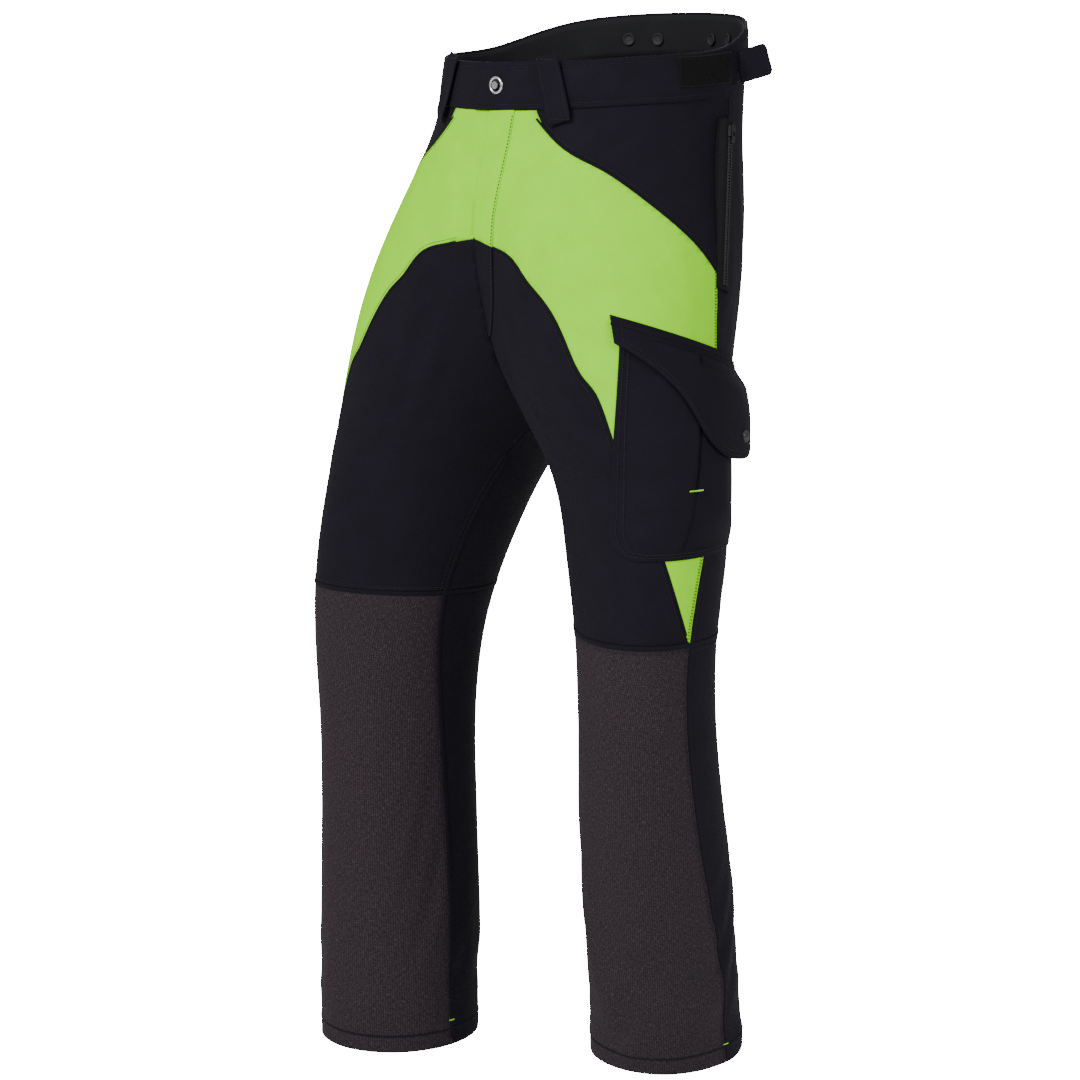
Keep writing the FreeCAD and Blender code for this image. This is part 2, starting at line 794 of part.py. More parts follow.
doc.recompute()
for item in doc.Objects:
    if "Invalid" in item.State or "Error" in item.State:
        raise RuntimeError("%s (%s) is %s" % (item.Name, item.Label, item.State))
os.makedirs("parts", exist_ok=True)
for item in parts:
    if item.Shape.isNull() or not item.Shape.isValid():
        raise RuntimeError("%s has a bad shape" % item.Label)
    print("%-24s solids %d volume %.1f" % (item.Label, len(item.Shape.Solids), item.Shape.Volume))
    item.Shape.exportStep("parts/%s.step" % item.Label)
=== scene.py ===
import json
import math

import bmesh
import bpy
import numpy as np
from mathutils import Euler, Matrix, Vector


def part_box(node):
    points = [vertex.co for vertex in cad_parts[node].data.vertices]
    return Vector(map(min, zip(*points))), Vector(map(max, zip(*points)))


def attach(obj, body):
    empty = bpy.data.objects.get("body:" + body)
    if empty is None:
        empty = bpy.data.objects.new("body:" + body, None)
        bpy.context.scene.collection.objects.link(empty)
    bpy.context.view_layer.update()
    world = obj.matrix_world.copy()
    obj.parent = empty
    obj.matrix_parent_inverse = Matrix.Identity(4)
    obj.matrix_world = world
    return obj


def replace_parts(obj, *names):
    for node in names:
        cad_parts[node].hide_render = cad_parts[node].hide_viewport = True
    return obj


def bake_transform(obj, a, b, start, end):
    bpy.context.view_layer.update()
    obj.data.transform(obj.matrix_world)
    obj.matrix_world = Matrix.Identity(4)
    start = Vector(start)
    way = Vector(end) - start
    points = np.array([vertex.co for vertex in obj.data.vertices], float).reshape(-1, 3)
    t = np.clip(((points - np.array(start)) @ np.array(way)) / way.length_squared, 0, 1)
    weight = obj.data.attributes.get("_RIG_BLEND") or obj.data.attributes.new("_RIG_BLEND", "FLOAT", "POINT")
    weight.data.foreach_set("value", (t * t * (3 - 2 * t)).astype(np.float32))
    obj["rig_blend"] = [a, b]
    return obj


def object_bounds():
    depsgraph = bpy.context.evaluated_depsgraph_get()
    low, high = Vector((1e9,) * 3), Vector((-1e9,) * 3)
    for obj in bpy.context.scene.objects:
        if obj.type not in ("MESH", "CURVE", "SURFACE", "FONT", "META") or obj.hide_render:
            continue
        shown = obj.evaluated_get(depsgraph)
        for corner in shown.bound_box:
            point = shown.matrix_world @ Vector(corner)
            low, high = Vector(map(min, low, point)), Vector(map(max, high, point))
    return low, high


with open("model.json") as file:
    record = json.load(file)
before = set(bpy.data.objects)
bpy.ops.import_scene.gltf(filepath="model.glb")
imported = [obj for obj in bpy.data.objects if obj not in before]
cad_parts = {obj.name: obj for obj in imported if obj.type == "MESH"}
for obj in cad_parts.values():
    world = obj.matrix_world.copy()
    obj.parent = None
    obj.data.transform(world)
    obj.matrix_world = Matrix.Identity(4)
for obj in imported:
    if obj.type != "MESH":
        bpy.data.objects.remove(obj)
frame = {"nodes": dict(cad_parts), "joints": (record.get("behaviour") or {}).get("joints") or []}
cad_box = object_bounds()

# Lengths below are in millimetres until make_piece() turns them into metres.
MM = 0.001
ROOT = "trousers"
SIDES = {"left": 1.0, "right": -1.0}

# Each level of a leg tube: height, sideways and forward place of its centre, long and short
# radius, and how far its long axis turns outwards, as in the CAD model.
SHARED_LEVELS = [(60, 0, 2, 172, 148, 0), (-50, 0, -2, 176, 152, 5), (-160, 17, -17, 190, 158, 25),
                 (-260, 58, -36, 188, 140, 35), (-340, 97, -60, 163, 121, 40)]
LEG_LEVELS = {
    "left": [(-420, 148, -78, 131, 97, 43), (-520, 179, -98, 113, 84, 48), (-620, 195, -116, 96, 74, 50),
             (-780, 184, -98, 88, 77, 48), (-940, 160, -56, 90, 82, 45), (-1105, 138, -20, 90, 84, 45)],
    "right": [(-420, 142, -81, 131, 98, 43), (-520, 176, -100, 112, 88, 46), (-620, 193, -116, 99, 81, 46),
              (-780, 190, -126, 88, 80, 45), (-940, 180, -134, 90, 82, 45), (-1135, 176, -138, 91, 85, 45)],
}
# Side view outlines as (forward, height): the seam between front and back, and the band's top edge.
SIDE_SEAM = {
    "left": [(30, 80), (30, 0), (22, -90), (-38, -225), (-52, -310), (-105, -480), (-138, -600),
             (-126, -720), (-78, -870), (-40, -980), (-10, -1130)],
    "right": [(30, 80), (30, 0), (22, -90), (-38, -225), (-52, -310), (-105, -480), (-132, -600),
              (-134, -720), (-134, -870), (-134, -980), (-136, -1160)],
}
WAIST_TOP = [(-260, -14), (-150, -8), (-60, 0), (20, 8), (90, 32), (150, 44), (260, 48)]
HEM = {"left": ((-300, -1095), (120, -1075)), "right": ((-300, -1120), (120, -1105))}
# Three-quarter view outlines of the bright panel as (along, height).
LIME_TOP = [(-60, -66), (-39, -89), (6, -115), (47, -142), (88, -175), (112, -200), (136, -236), (200, -330)]
LIME_LOW = [(-160, -189), (-125, -192), (-102, -200), (-84, -210), (-71, -228), (-54, -247), (-35, -276),
            (-14, -320), (4, -343), (19, -384), (71, -503), (97, -588), (120, -660)]
KNEE_LINE = -592.0
BAND_HEIGHT = 50.0
CLOTH = 2.0


def natural_spline(xs, ys):
    """A smooth curve through ys at rising xs, with no bend at its ends."""
    xs = np.asarray(xs, float)
    ys = np.asarray(ys, float)
    gap = np.diff(xs)
    matrix = np.eye(len(xs))
    right = np.zeros_like(ys)
    for i in range(1, len(xs) - 1):
        matrix[i, i - 1:i + 2] = gap[i - 1], 2 * (gap[i - 1] + gap[i]), gap[i]
        right[i] = 6 * ((ys[i + 1] - ys[i]) / gap[i] - (ys[i] - ys[i - 1]) / gap[i - 1])
    bend = np.linalg.solve(matrix, right.reshape(len(xs), -1)).reshape(ys.shape)

    def curve(x):
        x = np.asarray(x, float)
        i = np.clip(np.searchsorted(xs, x) - 1, 0, len(xs) - 2)
        shape = x.shape + (1,) * (ys.ndim - 1)
        width = gap[i].reshape(shape)
        a = ((xs[i + 1] - x) / gap[i]).reshape(shape)
        b = 1 - a
        curved = (a ** 3 - a) * bend[i] + (b ** 3 - b) * bend[i + 1]
        return a * ys[i] + b * ys[i + 1] + curved * width ** 2 / 6

    return curve


def soft_step(value, low, high):
    t = np.clip((value - low) / (high - low), 0, 1)
    return t * t * (3 - 2 * t)


def grid_faces(rows, columns, closed=False):
    faces = []
    for row in range(rows - 1):
        for column in range(columns if closed else columns - 1):
            beside = (column + 1) % columns
            faces.append((row * columns + column, row * columns + beside,
                          (row + 1) * columns + beside, (row + 1) * columns + column))
    return faces


def outline(points, rising=0):
    """The smooth outline through points, as a function of their coordinate number `rising`."""
    ordered = sorted(points, key=lambda point: point[rising])
    return natural_spline([p[rising] for p in ordered], [p[1 - rising] for p in ordered])


waist_top = outline(WAIST_TOP)
lime_top = outline(LIME_TOP)
lime_low = outline(LIME_LOW)
side_seam = {side: outline(SIDE_SEAM[side], rising=1) for side in SIDES}


def hem_height(side, forward):
    (front, front_height), (back, back_height) = HEM[side]
    return front_height + (forward - front) * (back_height - front_height) / (back - front)


class Leg:
    """One leg's cloth. Places on it are a column (0 to COLUMNS, counted around) and a height."""

    COLUMNS = 360
    ROW_STEP = 5.0

    def __init__(self, side):
        self.side = side
        self.sign = SIDES[side]
        levels = sorted(SHARED_LEVELS + LEG_LEVELS[side])
        around = 2 * math.pi * np.arange(self.COLUMNS) / self.COLUMNS + math.pi
        rings = []
        for _, across, forward, long_radius, short_radius, turn in levels:
            turn = math.radians(turn)
            along = long_radius * np.cos(around)
            aside = short_radius * np.sin(around)
            rings.append(np.stack([across + along * math.cos(turn) + aside * math.sin(turn),
                                   forward - along * math.sin(turn) + aside * math.cos(turn)], -1))
        self.heights = np.arange(-1160.0, 75.0, self.ROW_STEP)
        self.skin = natural_spline([level[0] for level in levels], rings)(self.heights)
        tangent = np.roll(self.skin, -1, 1) - np.roll(self.skin, 1, 1)
        normal = np.stack([tangent[..., 1], -tangent[..., 0]], -1)
        self.normals = normal / np.linalg.norm(normal, axis=-1, keepdims=True)
        step = np.linalg.norm(np.roll(self.skin, -1, 1) - self.skin, axis=-1)
        self.girth = step.sum(1)

    def push(self, offsets):
        """Moves the cloth outwards by offsets, one for each row and column of the table."""
        self.skin = self.skin + self.normals * offsets[..., None]

    def sample(self, table, column, height):
        row = (np.asarray(height, float) - self.heights[0]) / self.ROW_STEP
        low = np.clip(np.floor(row).astype(int), 0, len(self.heights) - 2)
        up = (row - low)[..., None]
        left = np.floor(column).astype(int)
        right = (column - left)[..., None]
        left = left % self.COLUMNS
        beside = (left + 1) % self.COLUMNS
        near = table[low, left] * (1 - right) + table[low, beside] * right
        far = table[low + 1, left] * (1 - right) + table[low + 1, beside] * right
        return near * (1 - up) + far * up

    def at(self, column, height, lift=0.0):
        """Points (x, y, z) on the cloth, lifted straight out of it by lift."""
        column, height, lift = np.broadcast_arrays(np.asarray(column, float), height, lift)
        flat = self.sample(self.skin, column, height)
        flat = flat + self.sample(self.normals, column, height) * lift[..., None]
        return np.stack([self.sign * flat[..., 0], flat[..., 1], height], -1)

    def column(self, azimuth, along, height):
        """The column met by a level ray at this azimuth, `along` to its side (0 front, 90 own side)."""
        along, height = np.broadcast_arrays(np.asarray(along, float), np.asarray(height, float))
        shape = along.shape
        along, height = along.ravel(), height.ravel()
        angle = math.radians(azimuth)
        columns = np.arange(self.COLUMNS)
        ring = self.sample(self.skin, np.broadcast_to(columns, (len(along), self.COLUMNS)), height[:, None])
        across = ring @ np.array([math.cos(angle), math.sin(angle)])
        depth = ring @ np.array([math.sin(angle), -math.cos(angle)])
        step = np.roll(across, -1, 1) - across
        share = (along[:, None] - across) / np.where(step == 0, 1e-9, step)
        hit = (share >= 0) & (share < 1)
        reach = np.where(hit, depth + share * (np.roll(depth, -1, 1) - depth), -1e9)
        best = reach.argmax(1)
        found = best + share[np.arange(len(best)), best]
        edge = np.where(along > across.max(1), across.argmax(1), across.argmin(1))
        return np.where(hit.any(1), found, edge).reshape(shape)

    def facing(self, azimuth, along, height, lift=0.0):
        return self.at(self.column(azimuth, along, height), height, lift)


legs = {side: Leg(side) for side in SIDES}


# ---- folds: a roomy cloth is let down over the worn shape, and its folds are kept ----

SIM_COLUMNS = 120
SIM_ROWS = 96
SIM_FRAMES = 22
BODY_GAP = 5.0
FOLD_LIMIT = 4.5
CLOTH_SETTINGS = {"quality": 6, "mass": 0.2, "tension_stiffness": 20.0, "compression_stiffness": 20.0,
                  "shear_stiffness": 8.0, "bending_stiffness": 1.5, "shrink_min": -0.05,
                  "vertex_group_mass": "held"}


def sim_object(name, leg, places, heights, lift):
    points = leg.at(places[None], heights[:, None], lift).reshape(-1, 3) * MM
    faces = grid_faces(len(heights), len(places), closed=True)
    mesh = bpy.data.meshes.new(name)
    mesh.from_pydata(points.tolist(), [], faces if leg.sign > 0 else [face[::-1] for face in faces])
    made = bpy.data.objects.new(name, mesh)
    bpy.context.scene.collection.objects.link(made)
    return made


def blurred(table, rows, columns):
    """The table averaged over a soft window of the given half widths, closed around the leg."""
    for axis, reach in ((0, rows), (1, columns)):
        total = np.zeros_like(table)
        weight = 0.0
        for shift in range(-2 * reach, 2 * reach + 1):
            share = math.exp(-0.5 * (shift / reach) ** 2)
            if axis == 1:
                moved = np.roll(table, shift, 1)
            else:
                moved = table[np.clip(np.arange(len(table)) - shift, 0, len(table) - 1)]
            total += share * moved
            weight += share
        table = total / weight
    return table


def hung_cloth(leg, places, heights):
    """How far the settled cloth stands out of the skin at these columns and heights."""
    body = sim_object("worn_shape", leg, places, heights, -BODY_GAP)
    body.modifiers.new("body", "COLLISION")
    body.collision.thickness_outer = 0.001
    body.collision.cloth_friction = 30.0
    cloth = sim_object("roomy_cloth", leg, places, heights, 0.0)
    held = cloth.vertex_groups.new(name="held")
    rest = leg.at(places[None], heights[:, None])
    pinned = (np.abs(rest[..., 0]) < 12) | (heights[:, None] > -60) | (heights[:, None] < -1085)
    held.add([int(i) for i in np.flatnonzero(pinned.ravel())], 1.0, "REPLACE")
    drape = cloth.modifiers.new("drape", "CLOTH")
    for setting, value in CLOTH_SETTINGS.items():
        setattr(drape.settings, setting, value)
    drape.collision_settings.distance_min = 0.001
    drape.point_cache.frame_end = SIM_FRAMES
    for step in range(1, SIM_FRAMES + 1):
        bpy.context.scene.frame_set(step)
    settled = cloth.evaluated_get(bpy.context.evaluated_depsgraph_get())
    places_now = np.zeros(len(settled.data.vertices) * 3)
    settled.data.vertices.foreach_get("co", places_now)
    moved = places_now.reshape(rest.shape) / MM - rest
    normals = leg.sample(leg.normals, np.broadcast_to(places, rest.shape[:2]), heights[:, None])
    bpy.context.scene.frame_set(1)
    for made in (cloth, body):
        mesh = made.data
        bpy.data.objects.remove(made)
        bpy.data.meshes.remove(mesh)
    return moved[..., 0] * leg.sign * normals[..., 0] + moved[..., 1] * normals[..., 1]


def folds(leg):
    """The hung cloth's folds without its broad swell, for each row and column of the leg's table."""
    heights = np.linspace(-1120.0, -10.0, SIM_ROWS)
    places = np.arange(SIM_COLUMNS) * (leg.COLUMNS / SIM_COLUMNS)
    offset = hung_cloth(leg, places, heights)
    offset = offset - blurred(offset, 9, 12)
    row = np.interp(leg.heights, heights, np.arange(SIM_ROWS))
    column = np.arange(leg.COLUMNS) * (SIM_COLUMNS / leg.COLUMNS)
    low = np.minimum(row.astype(int), SIM_ROWS - 2)
    left = column.astype(int)
    up, over = (row - low)[:, None], (column - left)[None]
    beside = (left + 1) % SIM_COLUMNS
    near = offset[low][:, left] * (1 - over) + offset[low][:, beside] * over
    far = offset[low + 1][:, left] * (1 - over) + offset[low + 1][:, beside] * over
    fine = blurred(near * (1 - up) + far * up, 2, 3)
    return FOLD_LIMIT * np.tanh(fine / FOLD_LIMIT)


def fold_share(leg):
    """How freely the cloth folds: not at the band, hem, fly and hip zip, and less in front."""
    heights = leg.heights[:, None]
    across, forward = leg.skin[..., 0], leg.skin[..., 1]
    share = soft_step(-heights, 70, 150) * soft_step(heights, -1105, -1060)
    share = share * soft_step(np.abs(across), 30, 60)
    zip_top, zip_end = np.array([184.0, 14.0, -74.0]), np.array([222.0, -34.0, -236.0])
    places = np.stack([across, forward, np.broadcast_to(heights, across.shape)], -1)
    line = zip_end - zip_top
    along = np.clip(((places - zip_top) @ line) / (line @ line), 0, 1)
    from_zip = np.linalg.norm(places - zip_top - along[..., None] * line, axis=-1)
    front = soft_step(side_seam[leg.side](heights) - forward, -20, 30)
    calm = 1 - 0.35 * front * soft_step(heights, -620, -560) - 0.3 * front * soft_step(-heights, 600, 640)
    return share * soft_step(from_zip, 18, 45) * calm


for leg_shape in legs.values():
    leg_shape.push(folds(leg_shape) * fold_share(leg_shape))


# ---- making pieces ----

def make_piece(name, points, faces, material, body=ROOT, flat_places=None, smooth=True):
    """A mesh piece from points in millimetres. flat_places gives each point's place on the flat cloth."""
    mesh = bpy.data.meshes.new(name)
    vertices = [tuple(p) for p in np.asarray(points, float) * MM]
    mesh.from_pydata(vertices, [], [tuple(map(int, f)) for f in faces])
    if flat_places is not None:
        corner = np.zeros(len(mesh.loops), int)
        mesh.loops.foreach_get("vertex_index", corner)
        layer = mesh.uv_layers.new(name="cloth")
        layer.data.foreach_set("uv", (np.asarray(flat_places, float)[corner] * MM).ravel())
    return finish_piece(name, mesh, material, body, smooth)


def finish_piece(name, mesh, material, body=ROOT, smooth=True):
    mesh.validate()
    mesh.materials.append(material)
    mesh.polygons.foreach_set("use_smooth", [smooth] * len(mesh.polygons))
    piece = bpy.data.objects.new(name, mesh)
    bpy.context.scene.collection.objects.link(piece)
    if body:
        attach(piece, body)
    return piece


def thicken(piece, thickness):
    solid = piece.modifiers.new("thickness", "SOLIDIFY")
    solid.thickness = thickness * MM
    solid.offset = -1.0
    return piece


def recalculate(piece, direction=None):
    """Makes all faces agree, and most of them face the direction if one is given."""
    bm = bmesh.new()
    bm.from_mesh(piece.data)
    bmesh.ops.recalc_face_normals(bm, faces=bm.faces)
    if direction and sum(face.normal.dot(Vector(direction)) for face in bm.faces) < 0:
        bmesh.ops.reverse_faces(bm, faces=bm.faces)
    bm.to_mesh(piece.data)
    bm.free()
    return piece


# ---- materials ----

def new_material(name):
    material = bpy.data.materials.new(name)
    material.use_nodes = True
    nodes = material.node_tree.nodes
    return material, nodes, material.node_tree.links, nodes["Principled BSDF"]


def node(nodes, kind, **values):
    made = nodes.new(kind)
    for key, value in values.items():
        if key in made.inputs:
            made.inputs[key].default_value = value
        else:
            setattr(made, key, value)
    return made


def math_node(nodes, links, operation, first, second):
    made = nodes.new("ShaderNodeMath")
    made.operation = operation
    for index, value in enumerate((first, second)):
        if isinstance(value, (int, float)):
            made.inputs[index].default_value = value
        else:
            links.new(value, made.inputs[index])
    return made.outputs[0]


def ramp(nodes, links, value, stops):
    made = nodes.new("ShaderNodeValToRGB")
    made.color_ramp.elements[0].position, made.color_ramp.elements[0].color = stops[0]
    made.color_ramp.elements[1].position, made.color_ramp.elements[1].color = stops[-1]
    for position, colour in stops[1:-1]:
        made.color_ramp.elements.new(position).color = colour
    links.new(value, made.inputs["Fac"])
    return made.outputs["Color"]


def rgb(colour, gain=1.0):
    return tuple(min(1.0, channel * gain) for channel in colour) + (1.0,)


def stretched_noise(nodes, links, source, across, down, detail=2.0):
    mapping = node(nodes, "ShaderNodeMapping")
    mapping.inputs["Scale"].default_value = (across, down, across)
    links.new(source, mapping.inputs["Vector"])
    noise = node(nodes, "ShaderNodeTexNoise", Scale=1.0, Detail=detail, Roughness=0.6)
    links.new(mapping.outputs["Vector"], noise.inputs["Vector"])
    return noise.outputs["Fac"]


def woven(name, colour, pitch=0.9, twill=1.0, bump=0.25, mottle=0.12, heather=0.0, sheen=0.25, rough=0.85,
          light=None, depth=0.16, yarn=(900.0, 110.0), shine=0.12):
    """Woven cloth: crossing yarns of the given pitch in millimetres, uneven dye and a soft sheen."""
    material, nodes, links, shader = new_material(name)
    places = nodes.new("ShaderNodeUVMap")
    places.uv_map = "cloth"
    split = nodes.new("ShaderNodeSeparateXYZ")
    links.new(places.outputs["UV"], split.inputs[0])
    turns = 2 * math.pi / (pitch * MM)
    warp = math_node(nodes, links, "MULTIPLY", split.outputs[0], turns)
    weft = math_node(nodes, links, "MULTIPLY", split.outputs[1], turns)
    slant = math_node(nodes, links, "MULTIPLY", weft, twill)
    ribs = math_node(nodes, links, "SINE", math_node(nodes, links, "ADD", warp, slant), 0.0)
    floats = math_node(nodes, links, "SINE", weft, 0.0)
    weave = math_node(nodes, links, "MULTIPLY_ADD", ribs, 0.5)
    weave.node.inputs[2].default_value = 0.5
    cross = math_node(nodes, links, "MULTIPLY_ADD", floats, 0.2)
    links.new(weave, cross.node.inputs[2])
    uneven = stretched_noise(nodes, links, places.outputs["UV"], 28.0, 28.0, 4.0)
    warp_yarn = stretched_noise(nodes, links, places.outputs["UV"], yarn[0], yarn[1])
    weft_yarn = stretched_noise(nodes, links, places.outputs["UV"], yarn[1], yarn[0])
    yarns = math_node(nodes, links, "ADD", warp_yarn, weft_yarn)
    low = 1.0 - mottle
    tone = ramp(nodes, links, uneven, [(0.3, rgb(colour, low)), (0.7, rgb(colour, 1.0 + mottle))])
    if heather:
        flecks = ramp(nodes, links, math_node(nodes, links, "MULTIPLY", yarns, 0.5),
                      [(0.42, rgb(colour, 1.0 - heather)), (0.5, rgb(colour)), (0.6, rgb(light or colour))])
        mix = node(nodes, "ShaderNodeMix", data_type="RGBA")
        mix.inputs["Factor"].default_value = 0.7
        links.new(tone, mix.inputs["A"])
        links.new(flecks, mix.inputs["B"])
        tone = mix.outputs["Result"]
    shade = node(nodes, "ShaderNodeHueSaturation")
    value = math_node(nodes, links, "MULTIPLY_ADD", cross, depth)
    value.node.inputs[2].default_value = 1.0 - depth * 0.6
    links.new(value, shade.inputs["Value"])
    links.new(tone, shade.inputs["Color"])
    links.new(shade.outputs["Color"], shader.inputs["Base Color"])
    height = math_node(nodes, links, "MULTIPLY_ADD", yarns, 0.6)
    links.new(cross, height.node.inputs[2])
    bumps = node(nodes, "ShaderNodeBump", Strength=bump, Distance=0.0004)
    links.new(height, bumps.inputs["Height"])
    links.new(bumps.outputs["Normal"], shader.inputs["Normal"])
    shader.inputs["Roughness"].default_value = rough
    shader.inputs["Specular IOR Level"].default_value = shine
    shader.inputs["Sheen Weight"].default_value = sheen
    shader.inputs["Sheen Roughness"].default_value = 0.45
    shader.inputs["Sheen Tint"].default_value = rgb(colour, 4.0)
    return material


def solid(name, colour, rough=0.4, metallic=0.0, bump=0.1, grain=900.0, sheen=0.0):
    """Plastic, thread or metal with slight scuffs and grain."""
    material, nodes, links, shader = new_material(name)
    place = nodes.new("ShaderNodeTexCoord")
    grainy = node(nodes, "ShaderNodeTexNoise", Scale=grain, Detail=3.0)
    links.new(place.outputs["Object"], grainy.inputs["Vector"])
    worn = node(nodes, "ShaderNodeTexNoise", Scale=grain / 6, Detail=4.0)
    links.new(place.outputs["Object"], worn.inputs["Vector"])
    links.new(ramp(nodes, links, worn.outputs["Fac"], [(0.3, rgb(colour, 0.85)), (0.7, rgb(colour, 1.15))]),
              shader.inputs["Base Color"])
    roughs = [(0.3, rgb((rough,) * 3, 0.8)), (0.7, rgb((rough,) * 3, 1.2))]
    links.new(ramp(nodes, links, grainy.outputs["Fac"], roughs), shader.inputs["Roughness"])
    bumps = node(nodes, "ShaderNodeBump", Strength=bump, Distance=0.0002)
    links.new(grainy.outputs["Fac"], bumps.inputs["Height"])
    links.new(bumps.outputs["Normal"], shader.inputs["Normal"])
    shader.inputs["Metallic"].default_value = metallic
    shader.inputs["Sheen Weight"].default_value = sheen
    return material


BLACK = (0.0055, 0.0042, 0.0085)
LIME = (0.25, 0.74, 0.0)
GREY = (0.021, 0.0145, 0.019)
dark_cloth = woven("dark_stretch_twill", BLACK, pitch=0.9, sheen=0.03)
lime_cloth = woven("lime_stretch_twill", LIME, pitch=0.9, mottle=0.04, sheen=0.0, bump=0.2, shine=0.0)
grey_cloth = woven("grey_wear_cloth", GREY, pitch=2.6, twill=0.0, bump=0.5, heather=0.5, depth=0.5,
                   light=(0.050, 0.040, 0.047), sheen=0.03, yarn=(1300.0, 240.0))

lining_mesh = woven("lining_mesh", (0.012, 0.012, 0.014), pitch=2.2, twill=0.0, bump=0.5, sheen=0.03)
stuffing_cloth = woven("stacked_fibre", (0.7, 0.68, 0.62), pitch=1.6, twill=0.0, bump=0.3, sheen=0.03)
tape_cloth = woven("zip_tape_cloth", (0.006, 0.006, 0.007), pitch=1.2, twill=0.0, bump=0.4, sheen=0.05)
pile_cloth = woven("loop_pile_cloth", (0.004, 0.004, 0.0045), pitch=1.1, twill=0.5, bump=0.8, sheen=0.05)
bright_metal = solid("bright_metal", (0.6, 0.6, 0.62), rough=0.25, metallic=1.0)
dark_metal = solid("dark_metal", (0.03, 0.03, 0.032), rough=0.35, metallic=0.8)
dark_plastic = solid("dark_plastic", (0.012, 0.012, 0.014), rough=0.35)
dark_thread_look = solid("dark_thread", (0.0045, 0.0036, 0.0065), rough=0.8)
matte_plastic = solid("matte_plastic", (0.004, 0.004, 0.005), rough=0.7)
lime_thread_look = solid("lime_thread", (0.34, 1.0, 0.0), rough=0.7)


# ---- panels cut from the cloth ----

def cut_away(bm, field):
    """Cuts the mesh along field = 0 and drops the side where it is negative."""
    values = dict(zip(bm.verts, field(np.array([v.co[:] for v in bm.verts]) / MM)))
    for edge in bm.edges:
        first, second = edge.verts
        a, b = values[first], values[second]
        if a * b < 0:
            share = a / (a - b)
            for vert, nearby, other in ((first, share < 0.2, second), (second, share > 0.8, first)):
                if nearby and a * b < 0:
                    place = share if vert is first else 1 - share
                    vert.co = vert.co.lerp(other.co, place)
                    values[vert] = 0.0
                    a, b = values[first], values[second]
    for edge in list(bm.edges):
        first, second = edge.verts
        a, b = values[first], values[second]
        if a * b < 0:
            _, made = bmesh.utils.edge_split(edge, first, a / (a - b))
            values[made] = 0.0
    for face in list(bm.faces):
        here = [values[v] for v in face.verts]
        if min(here) < 0 < max(here):
            ends = [v for v in face.verts if values[v] == 0.0]
            if len(ends) == 2:
                bmesh.utils.face_split(face, ends[0], ends[1])
    gone = [face for face in bm.faces if sum(values[v] for v in face.verts) < 0]
    bmesh.ops.delete(bm, geom=gone, context="FACES")


def cloth_mesh(leg, lift=0.0, row_step=6.0, columns=180, bottom=-1150.0, top=62.0):
    """The whole leg as a fine mesh whose layer 'column' remembers each point's place around."""
    rows = int((top - bottom) / row_step) + 1
    heights = np.linspace(bottom, top, rows)
    places = np.arange(columns) * (leg.COLUMNS / columns)
    points = leg.at(places[None, :], heights[:, None], lift).reshape(-1, 3)
    bm = bmesh.new()
    remembered = bm.verts.layers.float.new("column")
    for index, point in enumerate(points):
        vert = bm.verts.new(Vector(point) * MM)
        vert[remembered] = places[index % columns]
    bm.verts.ensure_lookup_table()
    for face in grid_faces(rows, columns, closed=True):
        corners = [bm.verts[i] for i in face]
        bm.faces.new(corners if leg.sign > 0 else corners[::-1])
    return bm


def give_cloth_places(bm, leg):
    remembered = bm.verts.layers.float["column"]
    layer = bm.loops.layers.uv.new("cloth")
    for face in bm.faces:
        columns = [loop.vert[remembered] for loop in face.loops]
        wraps = max(columns) - min(columns) > leg.COLUMNS / 2
        for loop, column in zip(face.loops, columns):
            height = loop.vert.co.z / MM
            girth = np.interp(height, leg.heights, leg.girth)
            if wraps and column < leg.COLUMNS / 2:
                column += leg.COLUMNS
            loop[layer].uv = (column / leg.COLUMNS * girth * MM, height * MM)


def panel(name, leg, fields, material, slot, lift=0.0, thickness=CLOTH, **mesh_sizes):
    bm = cloth_mesh(leg, lift, **mesh_sizes)
    for field in fields:
        cut_away(bm, field)
    bmesh.ops.delete(bm, geom=[v for v in bm.verts if not v.link_faces], context="VERTS")
    give_cloth_places(bm, leg)
    mesh = bpy.data.meshes.new(name)
    bm.to_mesh(mesh)
    bm.free()
    piece = finish_piece(name, mesh, material)
    return thicken(piece, thickness)


def own_half(side):
    return lambda p: p[:, 0] * SIDES[side]


def in_front(side):
    return lambda p: side_seam[side](p[:, 2]) - p[:, 1]


def above_knee(p):
    return p[:, 2] - KNEE_LINE


def three_quarter(side, p):
    return (p[:, 0] * SIDES[side] + p[:, 1]) * math.sqrt(0.5)


def under_lime_top(side):
    def field(p):
        along = three_quarter(side, p)
        return np.where(along < -60, 40.0, lime_top(np.clip(along, -60, 200))) - p[:, 2]
    return field


def over_lime_low(side):
    return lambda p: p[:, 2] - lime_low(np.clip(three_quarter(side, p), -160, 120))


def under_band(p):
    return waist_top(p[:, 1]) - BAND_HEIGHT + 8 - p[:, 2]


def over_hem(side):
    return lambda p: p[:, 2] - hem_height(side, p[:, 1])


def opposite(field):
    return lambda p: -field(p)


